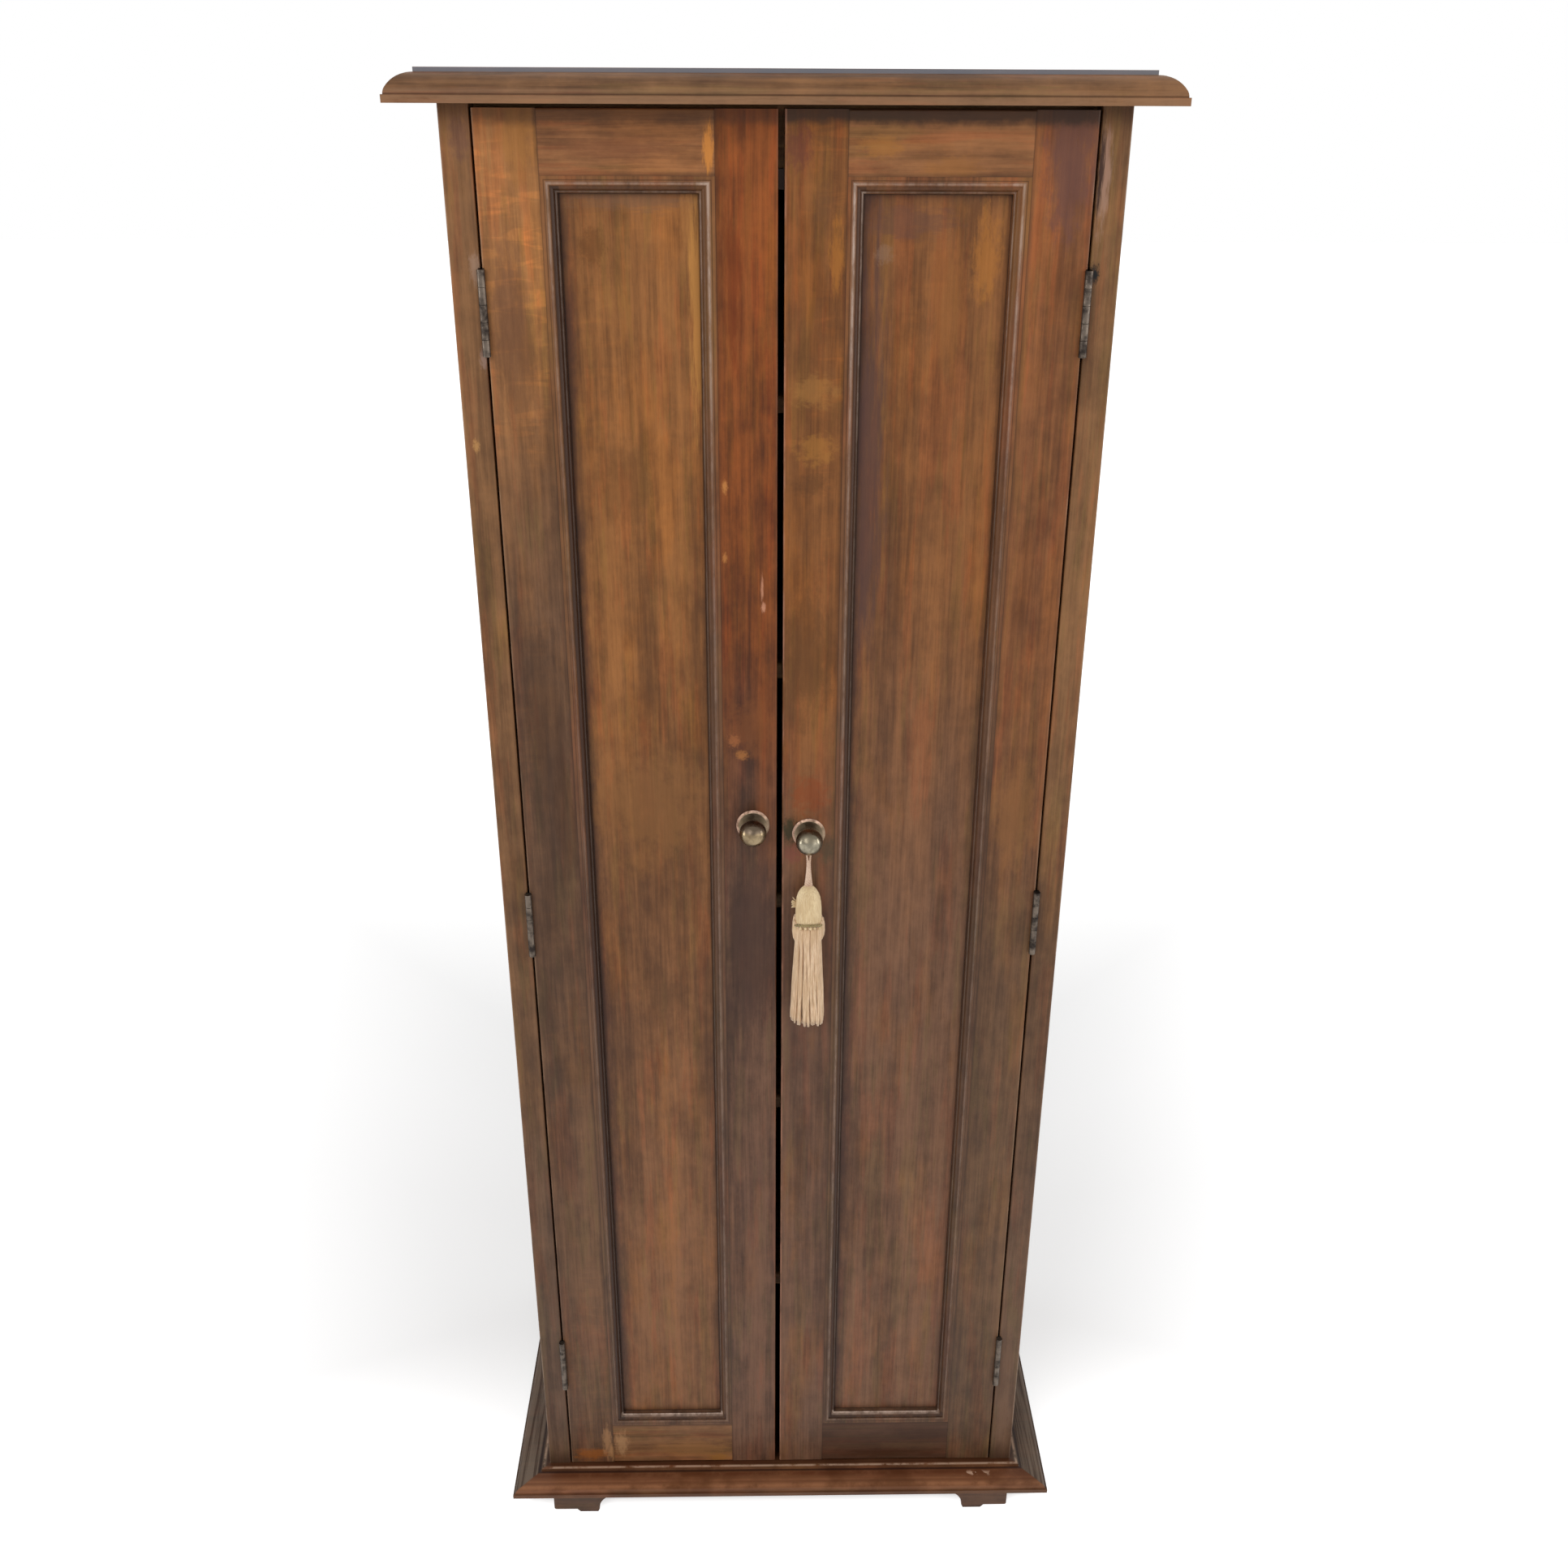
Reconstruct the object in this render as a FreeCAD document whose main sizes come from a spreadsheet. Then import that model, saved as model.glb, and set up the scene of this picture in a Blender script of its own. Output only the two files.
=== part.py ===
import FreeCAD, Part
import math
import os
import re

import Sketcher

# A narrow two-door collectors cabinet of stained hardwood.
# Lengths are in millimetres. +Z is up, the doors face -Y, and X runs to the viewer's right.
# The origin is on the floor, in the middle of the cabinet's outline.

SIZES = {
    # Carcass
    "body_width": 450,
    "body_depth": 280,
    "carcass_height": 1214,
    "side_thickness": 20,
    "back_thickness": 6,
    "back_rebate": 9,
    "back_play": 0.5,
    "arris_radius": 1.2,
    # Top board and its moulded edge
    "top_overhang": 29,
    "top_lip_height": 4.9,
    "top_lip_projection": 1.3,
    "top_ovolo_width": 16.7,
    "top_ovolo_height": 12.9,
    "top_nose_radius": 8,
    "top_step": 2.8,
    # Base board and its moulded edge
    "base_overhang": 32,
    "base_lip_height": 4,
    "base_lip_projection": 1.6,
    "base_ovolo_width": 22.9,
    "base_ovolo_height": 4.6,
    "base_nose_radius": 3,
    "base_step": 2,
    # Feet
    "foot_height": 20,
    "foot_width": 53,
    "foot_depth": 44,
    "foot_inset": 38.5,
    "foot_setback": 1.5,
    "foot_relief": 3.5,
    "foot_relief_length": 22,
    "foot_pad_length": 20,
    "foot_bevel": 3,
    "foot_toe_radius": 2,
    "foot_scroll_radius": 17,
    # Rails under the top board
    "top_rail_height": 40,
    "top_rail_thickness": 18,
    "stop_gap": 1.6,
    # Shelves, housed in the side boards
    "shelf_count": 5,
    "shelf_thickness": 12,
    "shelf_setback": 5,
    "shelf_play": 0.5,
    "shelf_nose_radius": 3,
    "housing_depth": 7,
    # Doors
    "door_thickness": 20,
    "door_side_gap": 1.5,
    "door_bottom_gap": 1,
    "door_top_gap": 3,
    "meeting_gap": 4.4,
    "meeting_offset": 3.2,
    "stile_width": 41.5,
    "door_top_rail_width": 40.5,
    "door_bottom_rail_width": 48.4,
    "panel_thickness": 6,
    "panel_recess": 8,
    "panel_play": 1,
    "groove_depth": 8,
    "groove_play": 0.2,
    # Moulding planted round each panel
    "moulding_width": 11,
    "moulding_flat": 3.6,
    "moulding_bead": 2.4,
    "moulding_bead_rise": 0.8,
    "moulding_quirk": 0.9,
    "moulding_cove_drop": 3.2,
    "moulding_inner_bead": 1.9,
    "moulding_inner_rise": 0.7,
    # Butt hinges
    "hinge_length": 57,
    "hinge_bottom": 101,
    "hinge_head_room": 102,
    "hinge_count": 3,
    "hinge_axis_reach": 2.2,
    "knuckle_radius": 2.75,
    "knuckle_gap": 0.3,
    "knuckle_notch_gap": 0.4,
    "frame_knuckle_count": 3,
    "leaf_thickness": 1.4,
    "leaf_width": 17,
    "leaf_notch": 0.5,
    "mortise_play": 0.6,
    "hinge_pin_radius": 1.4,
    "hinge_pin_play": 0.05,
    # Knobs
    "left_knob_height": 695.4,
    "right_knob_height": 687.9,
    "left_knob_edge_distance": 18.6,
    "right_knob_edge_distance": 21,
    "knob_ball_radius": 10.6,
    "knob_reach": 15,
    "knob_neck_radius": 3.6,
    "knob_foot_radius": 5,
    "knob_foot_height": 0.8,
    "knob_plate_radius": 13,
    "knob_plate_thickness": 1.8,
    "knob_plate_edge": 0.7,
    "knob_plate_slope": 2,
    # Magnetic catch and its strike plates
    "catch_width": 46,
    "catch_height": 13,
    "catch_depth": 15,
    "catch_corner": 2.5,
    "catch_pole_length": 14,
    "catch_pole_height": 5,
    "catch_pole_depth": 0.8,
    "strike_thickness": 1,
    "strike_length": 20,
    "strike_height": 10,
    "strike_inset": 4,
    # Tassel on the right knob
    "cord_radius": 0.85,
    "cord_hook_radius": 5.8,
    "cord_hook_out": 3.1,
    "cord_throat": 1,
    "cord_throat_drop": 17,
    "cord_fork_drop": 30,
    "cord_foot_spread": 2.6,
    "tassel_drop": 42.5,
    "tassel_rest_gap": 0.4,
    "tassel_head_radius": 10.5,
    "tassel_head_length": 33,
    "tassel_crown_height": 9,
    "tassel_crown_radius": 9,
    "tassel_crown_shoulder": 3.5,
    "tassel_crown_flat": 4.5,
    "tassel_collar_radius": 14,
    "tassel_collar_length": 14.5,
    "tassel_collar_shoulder_radius": 13,
    "tassel_collar_shoulder_length": 9,
    "tassel_collar_belly_length": 4,
    "tassel_skirt_length": 76,
    "tassel_skirt_top_radius": 10.8,
    "tassel_skirt_end_radius": 15.2,
    # Reach of a cut past the wood it opens
    "overrun": 5,
}

# Sizes that follow from the ones above
DERIVED = {
    "front_plane": "(base_overhang - body_depth) / 2",
    "base_thickness": "(base_lip_height + base_ovolo_height + base_step)",
    "top_thickness": "(top_lip_height + top_ovolo_height + top_step)",
    "deck": "(foot_height + base_thickness)",
    "inner_half": "(body_width / 2 - side_thickness)",
    "back_face": "(body_depth - back_thickness)",
    "rail_front": "(door_thickness + stop_gap)",
    "shelf_front": "(door_thickness + shelf_setback)",
    "shelf_pitch": "(carcass_height / (shelf_count + 1))",
    "door_foot": "door_bottom_gap",
    "door_head": "(carcass_height - door_top_gap)",
    "groove_width": "(panel_thickness + groove_play)",
    "panel_face": "(panel_recess + groove_play / 2)",
    "hinge_span": "(carcass_height - hinge_head_room - hinge_length - hinge_bottom)",
    "axis_half": "(inner_half - door_side_gap / 2)",
    "leaf_end": "(leaf_width - hinge_axis_reach)",
    "leaf_shoulder": "(knuckle_radius - hinge_axis_reach + leaf_notch)",
    "knuckle_pitch": "((hinge_length + knuckle_gap) / (2 * frame_knuckle_count - 1))",
    "knuckle_length": "(knuckle_pitch - knuckle_gap)",
    "hinge_bore_radius": "(hinge_pin_radius + hinge_pin_play)",
    "catch_front": "(rail_front - stop_gap + strike_thickness + tassel_rest_gap)",
    "catch_foot": "(carcass_height - top_rail_height - catch_height)",
    "right_knob_x": "(meeting_gap / 2 - meeting_offset + right_knob_edge_distance)",
    "left_knob_x": "(-meeting_gap / 2 - meeting_offset - left_knob_edge_distance)",
    "head_rest": "(tassel_head_radius + tassel_rest_gap)",
    "head_foot": "(tassel_drop + tassel_head_length)",
    "collar_middle": "(head_foot + tassel_collar_length / 2)",
    "skirt_hang": "(head_foot + tassel_collar_length + tassel_rest_gap)",
    "tassel_lean": "((head_rest - cord_hook_out) / (tassel_drop + tassel_crown_height))",
}

doc = FreeCAD.newDocument("CollectorsCabinet")
sheet = doc.addObject("Spreadsheet::Sheet", "Sizes")
for row, (alias, value) in enumerate(SIZES.items(), start=1):
    sheet.set(f"A{row}", alias)
    sheet.set(f"B{row}", str(value))
    sheet.setAlias(f"B{row}", alias)
doc.recompute()

WORDS = re.compile(r"\b[a-z][a-z_]*\b")
nodes = []


def bound(text):
    """The expression that ties a property to the sheet, from words for the sizes."""

    def spelled(match):
        word = match.group(0)
        if word in DERIVED:
            return bound(DERIVED[word])
        return f"Sizes.{word}" if word in SIZES else word

    return WORDS.sub(spelled, str(text))


def size(text):
    """The value of such an expression."""
    return float(sheet.evalExpression(bound(text)))


def bind(thing, prop, text):
    thing.setExpression(prop, bound(text))


def origin_of(body, role):
    return next(f for f in body.Origin.OriginFeatures if f.Role == role)


def new_body(label, at=("0", "front_plane", "deck"), node=True):
    """A piece, in a frame on the base board's top, at the middle of the carcass front."""
    body = doc.addObject("PartDesign::Body", label.title().replace("_", ""))
    body.Label = label
    body.AllowCompound = True
    for axis, text in zip("xyz", at):
        bind(body, f"Placement.Base.{axis}", text)
    if node:
        nodes.append(body)
    return body


def new_group(label, bodies):
    """One piece made of several lengths."""
    group = doc.addObject("Part::Compound", label.title().replace("_", ""))
    group.Label = label
    group.Links = bodies
    nodes.append(group)


def add_corner(sketch, name, geometry, end, x, y):
    for axis, text in (("X", x), ("Y", y)):
        limit = Sketcher.Constraint(f"Distance{axis}", -1, 1, geometry, end, size(text))
        index = sketch.addConstraint(limit)
        sketch.renameConstraint(index, f"{name}{axis}")
        bind(sketch, f"Constraints.{name}{axis}", text)


def arc_between(start, end, radius, turn):
    """The shorter arc from start to end, as Sketcher keeps it: turning left."""
    chord = end - start
    reach = math.sqrt(max(radius**2 - (chord.Length / 2) ** 2, 0))
    side = FreeCAD.Vector(-chord.y, chord.x, 0).normalize() * turn
    centre = (start + end) / 2 + side * reach
    first, last = (start, end) if turn > 0 else (end, start)
    angles = [math.atan2(p.y - centre.y, p.x - centre.x) for p in (first, last)]
    if angles[1] < angles[0]:
        angles[1] += 2 * math.pi
    circle = Part.Circle(centre, FreeCAD.Vector(0, 0, 1), radius)
    return Part.ArcOfCircle(circle, *angles)


def add_outline(sketch, corners, name):
    """A closed outline. A corner is (x, y), with a straight line that leads to it,
    or (x, y, radius, turn), with an arc that turns left for 1 and right for -1."""
    points = [FreeCAD.Vector(size(c[0]), size(c[1]), 0) for c in corners]
    edges = []
    for i, corner in enumerate(corners):
        start, end = points[i - 1], points[i]
        if len(corner) == 2:
            geometry = sketch.addGeometry(Part.LineSegment(start, end), False)
            edges.append((geometry, 1, 2))
            continue
        radius, turn = corner[2], corner[3]
        geometry = sketch.addGeometry(arc_between(start, end, size(radius), turn), False)
        edges.append((geometry, 1, 2) if turn > 0 else (geometry, 2, 1))
        limit = Sketcher.Constraint("Radius", geometry, size(radius))
        index = sketch.addConstraint(limit)
        sketch.renameConstraint(index, f"{name}{i}R")
        bind(sketch, f"Constraints.{name}{i}R", radius)
    for i, corner in enumerate(corners):
        geometry, _, end = edges[i]
        follower, start, _ = edges[(i + 1) % len(edges)]
        sketch.addConstraint(Sketcher.Constraint("Coincident", geometry, end, follower, start))
        add_corner(sketch, f"{name}{i}", geometry, end, corner[0], corner[1])


def add_circle(sketch, x, y, radius, name):
    centre = FreeCAD.Vector(size(x), size(y), 0)
    circle = Part.Circle(centre, FreeCAD.Vector(0, 0, 1), size(radius))
    geometry = sketch.addGeometry(circle, False)
    add_corner(sketch, name, geometry, 3, x, y)
    index = sketch.addConstraint(Sketcher.Constraint("Radius", geometry, size(radius)))
    sketch.renameConstraint(index, f"{name}R")
    bind(sketch, f"Constraints.{name}R", radius)


def new_sketch(body, role, name, outlines=(), circles=(), offset=("0", "0", "0")):
    """A sketch on one of the body's origin planes, shifted by offset in the sketch's axes."""
    sketch = body.newObject("Sketcher::SketchObject", f"{body.Name}{name}")
    sketch.AttachmentSupport = (origin_of(body, role), [""])
    sketch.MapMode = "FlatFace"
    for axis, text in zip("xyz", offset):
        bind(sketch, f"AttachmentOffset.Base.{axis}", text)
    for i, corners in enumerate(outlines):
        add_outline(sketch, corners, "abcdefgh"[i])
    for i, (x, y, radius) in enumerate(circles):
        add_circle(sketch, x, y, radius, "stuvwxyz"[i])
    return sketch


def pad(body, sketch, length, middle=False, back=False):
    feature = body.newObject("PartDesign::Pad", f"{sketch.Name}Pad")
    feature.Profile = sketch
    bind(feature, "Length", length)
    feature.Midplane = middle
    feature.Reversed = back
    sketch.Visibility = False
    body.Tip = feature
    return feature


def checked_cut(body, feature):
    """Recomputes a cut and stops if it took nothing away."""
    before = body.Shape.Volume
    body.Tip = feature
    doc.recompute()
    if not body.Shape.Volume < before:
        raise ValueError(f"{feature.Name} cuts nothing")
    return feature


def pocket(body, sketch, depth=None, middle=False, ahead=False):
    """A cut against the sketch's normal, or along it with ahead. No depth cuts through."""
    doc.recompute()
    feature = body.newObject("PartDesign::Pocket", f"{sketch.Name}Pocket")
    feature.Profile = sketch
    if depth is None:
        feature.Type = "ThroughAll"
    else:
        bind(feature, "Length", depth)
    feature.Midplane = middle
    feature.Reversed = ahead
    return checked_cut(body, feature)


def turned(body, sketch, axis):
    """The sketch turned once round its own H_Axis or V_Axis."""
    doc.recompute()
    feature = body.newObject("PartDesign::Revolution", f"{sketch.Name}Turn")
    feature.Profile = sketch
    feature.ReferenceAxis = (sketch, [axis])
    feature.Angle = 360
    body.Tip = feature
    return feature


def repeat(body, features, rows=(), mirror=None):
    """Repeats features along axes, each row being (axis role, length, count)."""
    feature = body.newObject("PartDesign::MultiTransform", f"{features[-1].Name}Repeat")
    feature.Originals = list(features)
    steps = []
    for i, (role, length, count) in enumerate(rows):
        step = body.newObject("PartDesign::LinearPattern", f"{feature.Name}Row{i}")
        step.Direction = (origin_of(body, role), [""])
        bind(step, "Length", length)
        bind(step, "Occurrences", count)
        steps.append(step)
    if mirror:
        step = body.newObject("PartDesign::Mirrored", f"{feature.Name}Mirror")
        step.MirrorPlane = (origin_of(body, mirror), [""])
        steps.append(step)
    feature.Transformations = steps
    body.Tip = feature
    return feature


def rectangle(x0, x1, y0, y1):
    return [(x0, y0), (x1, y0), (x1, y1), (x0, y1)]


def side_word(side):
    return "left" if side < 0 else "right"


# Moulded boards


def ovolo(board, edge, side):
    """The moulded edge between the lip and the flat top, as two arcs that meet smoothly.
    edge is the lip's place along the sketch's x, and side is where outside lies."""
    wide, tall = f"{board}_ovolo_width", f"{board}_ovolo_height"
    nose, lip = f"{board}_nose_radius", f"{board}_lip_height"
    crown = f"(({wide}^2 + {tall}^2 - 2 * {wide} * {nose}) / (2 * ({tall} - {nose})))"
    share = f"({crown} / ({crown} - {nose}))"
    root = f"({edge} - {side} * {board}_lip_projection)"
    knee_x = f"{root} - {side} * ({wide} - ({wide} - {nose}) * {share})"
    knee_y = f"{lip} + {tall} - {crown} + ({crown} - {tall}) * {share}"
    end = (f"{root} - {side} * {wide}", f"{lip} + {tall}")
    return [(root, lip), (knee_x, knee_y, nose, side), (*end, crown, side)]


def moulded_board(label, board, level):
    """A board with one moulding worked along its front and both ends, mitred at the corners."""
    body = new_body(label, at=("0", "front_plane", level))
    overhang, lip = f"{board}_overhang", f"{board}_lip_height"
    thickness = f"{board}_thickness"
    half = f"(body_width / 2 + {overhang})"
    profile = ovolo(board, f"-{overhang}", -1)
    front = [("body_depth", "0"), (f"-{overhang}", "0"), (f"-{overhang}", lip), *profile]
    front += [(front[-1][0], thickness), ("body_depth", thickness)]
    pad(body, new_sketch(body, "YZ_Plane", "Front", [front]), f"2 * {half}", middle=True)
    waste = []
    for side in (-1, 1):
        edge = f"({side} * {half})"
        past = f"({side} * ({half} + overrun))"
        over = f"({thickness} + overrun)"
        profile = ovolo(board, edge, side)
        waste.append([(past, lip), *profile, (profile[-1][0], over), (past, over)])
    pocket(body, new_sketch(body, "XZ_Plane", "Ends", waste), middle=True)


moulded_board("top_board", "top", "deck + carcass_height")
moulded_board("base_board", "base", "foot_height")


# Carcass


def side_board(side):
    body = new_body(f"{side_word(side)}_side_board")
    inner, outer = f"({side} * inner_half)", f"({side} * body_width / 2)"
    rebate = f"({side} * (inner_half + back_rebate))"
    plan = [
        (inner, "arris_radius"),
        (inner, "back_face"),
        (rebate, "back_face"),
        (rebate, "body_depth"),
        (outer, "body_depth"),
        (outer, "arris_radius"),
        (f"{outer} - {side} * arris_radius", "0", "arris_radius", -side),
        (f"{inner} + {side} * arris_radius", "0"),
    ]
    plan[0] = (*plan[0], "arris_radius", -side)
    pad(body, new_sketch(body, "XY_Plane", "Plan", [plan]), "carcass_height")
    hinge_cuts(body, inner, f"{inner} + {side} * leaf_thickness", side)
    housing = rectangle("shelf_front - shelf_play", "back_face", "shelf_pitch",
                        "shelf_pitch + shelf_thickness")
    offset = ("0", "0", f"{inner} - {side} * overrun")
    sketch = new_sketch(body, "YZ_Plane", "Housing", [housing], offset=offset)
    housed = pocket(body, sketch, "housing_depth + overrun", ahead=side > 0)
    repeat(body, [housed], [SHELF_ROW])


SHELF_ROW = ("Z_Axis", "shelf_pitch * (shelf_count - 1)", "shelf_count")
HINGE_ROW = ("Z_Axis", "hinge_span", "hinge_count")


def hinge_cuts(body, face, floor, side):
    """The mortise for a leaf, and the notch round the knuckles, at each hinge."""
    level = "hinge_bottom - mortise_play"
    tall = "hinge_length + 2 * mortise_play"
    past = f"{face} - ({floor} - {face}) * overrun"
    mortise = rectangle(past, floor, "-overrun", "leaf_end")
    axis = f"{side} * axis_half"
    sketch = new_sketch(body, "XY_Plane", "Mortise", [mortise], offset=("0", "0", level))
    first = pocket(body, sketch, tall, ahead=True)
    notch = [(axis, "-hinge_axis_reach", "knuckle_radius + knuckle_notch_gap")]
    sketch = new_sketch(body, "XY_Plane", "Notch", circles=notch, offset=("0", "0", level))
    second = pocket(body, sketch, tall, ahead=True)
    repeat(body, [first, second], [HINGE_ROW])


for side in (-1, 1):
    side_board(side)

back_panel = new_body("back_panel")
back_half = "(inner_half + back_rebate - back_play)"
plan = rectangle(f"-{back_half}", back_half, "back_face", "body_depth")
pad(back_panel, new_sketch(back_panel, "XY_Plane", "Plan", [plan]), "carcass_height")

for label, near in (("front_top_rail", "rail_front"),
                    ("rear_top_rail", "(back_face - top_rail_thickness)")):
    body = new_body(label)
    foot = "(carcass_height - top_rail_height)"
    section = [
        (near, "carcass_height"),
        (near, f"{foot} + arris_radius"),
        (f"{near} + arris_radius", foot, "arris_radius", 1),
        (f"{near} + top_rail_thickness", foot),
        (f"{near} + top_rail_thickness", "carcass_height"),
    ]
    pad(body, new_sketch(body, "YZ_Plane", "Section", [section]), "2 * inner_half", middle=True)

# Feet


def foot(side, rear):
    """A shaped foot: a relieved toe outside, the pad that it stands on, a scroll inside."""
    near = "body_depth - foot_depth" if rear else "foot_setback - base_overhang"
    where = "rear" if rear else "front"
    body = new_body(f"{where}_{side_word(side)}_foot", at=("0", "front_plane", "0"))
    outer = f"{side} * (body_width / 2 + base_overhang - foot_inset)"
    toe = f"{outer} - {side} * foot_relief_length"
    pad_end = f"{toe} - {side} * foot_pad_length"
    front = [
        (outer, "foot_height"),
        (outer, "foot_relief + foot_toe_radius"),
        (f"{outer} - {side} * foot_toe_radius", "foot_relief", "foot_toe_radius", -side),
        (toe, "foot_relief"),
        (f"{toe} - {side} * foot_bevel", "0"),
        (pad_end, "0"),
        (f"{pad_end} - {side} * foot_bevel / 2", "foot_relief"),
        (f"{outer} - {side} * foot_width", "foot_height", "foot_scroll_radius", side),
    ]
    sketch = new_sketch(body, "XZ_Plane", "Front", [front], offset=("0", "0", f"-({near})"))
    pad(body, sketch, "foot_depth", back=True)


for rear in (False, True):
    for side in (-1, 1):
        foot(side, rear)

# Shelves

for number in range(1, int(size("shelf_count")) + 1):
    body = new_body(f"shelf_{number}", at=("0", "front_plane", f"deck + {number} * shelf_pitch"))
    back = "(back_face - shelf_play)"
    section = [
        ("shelf_front", "shelf_thickness - shelf_nose_radius"),
        ("shelf_front", "0"),
        (back, "0"),
        (back, "shelf_thickness"),
        ("shelf_front + shelf_nose_radius", "shelf_thickness"),
    ]
    section[0] = (*section[0], "shelf_nose_radius", 1)
    sketch = new_sketch(body, "YZ_Plane", "Section", [section])
    pad(body, sketch, "2 * (inner_half + housing_depth)", middle=True)

# Doors


def door_lines(side):
    """The door's hinge edge, lock edge and the frame's inner edges, along X."""
    hinge_edge = f"({side} * (inner_half - door_side_gap))"
    lock_edge = f"({side} * meeting_gap / 2 - meeting_offset)"
    hinge_inner = f"({hinge_edge} - {side} * stile_width)"
    lock_inner = f"({lock_edge} + {side} * stile_width)"
    return hinge_edge, lock_edge, hinge_inner, lock_inner


def stile(label, edge, inner, inward):
    """An upright of the frame, grooved along its inner edge. inward is 1 towards +X."""
    body = new_body(label)
    floor = f"{inner} - {inward} * groove_depth"
    plan = [
        (f"{edge} + {inward} * arris_radius", "0"),
        (inner, "0"),
        (inner, "panel_recess"),
        (floor, "panel_recess"),
        (floor, "panel_recess + groove_width"),
        (inner, "panel_recess + groove_width"),
        (inner, "door_thickness"),
        (edge, "door_thickness"),
        (edge, "arris_radius"),
    ]
    plan[0] = (*plan[0], "arris_radius", inward)
    sketch = new_sketch(body, "XY_Plane", "Plan", [plan], offset=("0", "0", "door_foot"))
    pad(body, sketch, "door_head - door_foot")
    return body


def door_rail(label, low, high, outer, inner, way):
    """A cross rail with a groove at its inner edge and a tongue at each end."""
    body = new_body(label)
    floor = f"{inner} - {way} * groove_depth"
    section = [
        ("arris_radius", outer),
        ("door_thickness", outer),
        ("door_thickness", inner),
        ("panel_recess + groove_width", inner),
        ("panel_recess + groove_width", floor),
        ("panel_recess", floor),
        ("panel_recess", inner),
        ("0", inner),
        ("0", f"{outer} + {way} * arris_radius"),
    ]
    section[0] = (*section[0], "arris_radius", way)
    sketch = new_sketch(body, "YZ_Plane", "Section", [section], offset=("0", "0", low))
    pad(body, sketch, f"{high} - {low}")
    tongue = rectangle("panel_recess", "panel_recess + groove_width", outer, floor)
    offset = ("0", "0", f"{low} - groove_depth")
    sketch = new_sketch(body, "YZ_Plane", "Tongue", [tongue], offset=offset)
    pad(body, sketch, f"{high} - {low} + 2 * groove_depth")


def moulding_profile(start, way):
    """The planted moulding's section, from the frame's edge at start towards the panel.
    Flat, bead, quirk, cove and an inner bead, as (distance, depth)."""
    def at(distance):
        return f"{start} + {way} * ({distance})"

    bead = "(moulding_flat + moulding_bead)"
    inner = "(moulding_width - moulding_inner_bead)"
    foot_depth = "(moulding_quirk + moulding_cove_drop)"
    rise, width = "moulding_bead_rise", "moulding_bead"
    bead_radius = f"(({width} / 2)^2 + {rise}^2) / (2 * {rise})"
    rise, width = "moulding_inner_rise", "moulding_inner_bead"
    inner_radius = f"(({width} / 2)^2 + {rise}^2) / (2 * {rise})"
    return [
        (at("0"), "panel_face"),
        (at("0"), "0"),
        (at("moulding_flat"), "0"),
        (at(bead), "0", bead_radius, -way),
        (at(bead), "moulding_quirk"),
        (at(inner), foot_depth, f"{inner} - {bead}", way),
        (at("moulding_width"), foot_depth, inner_radius, -way),
        (at("moulding_width"), "panel_face"),
    ]


def moulding_length(name, upright_piece, start, way, low, high):
    """One mitred length. low and high are its outer ends, along its own direction."""
    body = new_body(name, node=False)
    outline = moulding_profile(start, way)
    far = f"({start} + {way} * (moulding_width + overrun))"
    past = f"({start} - {way} * overrun)"
    mitres = []
    for end, inside in ((low, 1), (high, -1)):
        tip = f"({end} + {inside} * (moulding_width + overrun))"
        outside = f"({end} - {inside} * overrun)"
        mitres.append([(past, outside), (far, outside), (far, tip)])
    if upright_piece:
        sketch = new_sketch(body, "XY_Plane", "Section", [outline], offset=("0", "0", low))
        pad(body, sketch, f"{high} - {low}")
    else:
        turned_round = [(c[1], c[0], *([c[2], -c[3]] if len(c) > 2 else [])) for c in outline]
        sketch = new_sketch(body, "YZ_Plane", "Section", [turned_round], offset=("0", "0", low))
        pad(body, sketch, f"{high} - {low}")
        mitres = [[(y, x) for x, y in mitre] for mitre in mitres]
    pocket(body, new_sketch(body, "XZ_Plane", "Mitres", mitres), middle=True)
    return body


def ordered(side, first, second):
    """The two places from low to high X, given as from the hinge side to the lock side."""
    return (first, second) if side < 0 else (second, first)


def door(side):
    word = side_word(side)
    hinge_edge, lock_edge, hinge_inner, lock_inner = door_lines(side)
    low, high = ordered(side, hinge_inner, lock_inner)
    inward = -side

    body = stile(f"{word}_hinge_stile", hinge_edge, hinge_inner, inward)
    hinge_cuts(body, hinge_edge, f"{hinge_edge} + {inward} * leaf_thickness", side)

    stile(f"{word}_lock_stile", lock_edge, lock_inner, side)

    bottom, top = "(door_foot + door_bottom_rail_width)", "(door_head - door_top_rail_width)"
    door_rail(f"{word}_top_rail", low, high, "door_head", top, -1)
    door_rail(f"{word}_bottom_rail", low, high, "door_foot", bottom, 1)

    tuck = "(groove_depth - panel_play)"
    body = new_body(f"{word}_panel")
    plan = rectangle(f"{low} - {tuck}", f"{high} + {tuck}", "panel_face",
                     "panel_face + panel_thickness")
    sketch = new_sketch(body, "XY_Plane", "Plan", [plan], offset=("0", "0", f"{bottom} - {tuck}"))
    pad(body, sketch, f"{top} - {bottom} + 2 * {tuck}")

    new_group(f"{word}_panel_moulding", [
        moulding_length(f"{word}_moulding_low_x", True, low, 1, bottom, top),
        moulding_length(f"{word}_moulding_high_x", True, high, -1, bottom, top),
        moulding_length(f"{word}_moulding_bottom", False, bottom, 1, low, high),
        moulding_length(f"{word}_moulding_top", False, top, -1, low, high),
    ])


for side in (-1, 1):
    door(side)

# Butt hinges


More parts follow.
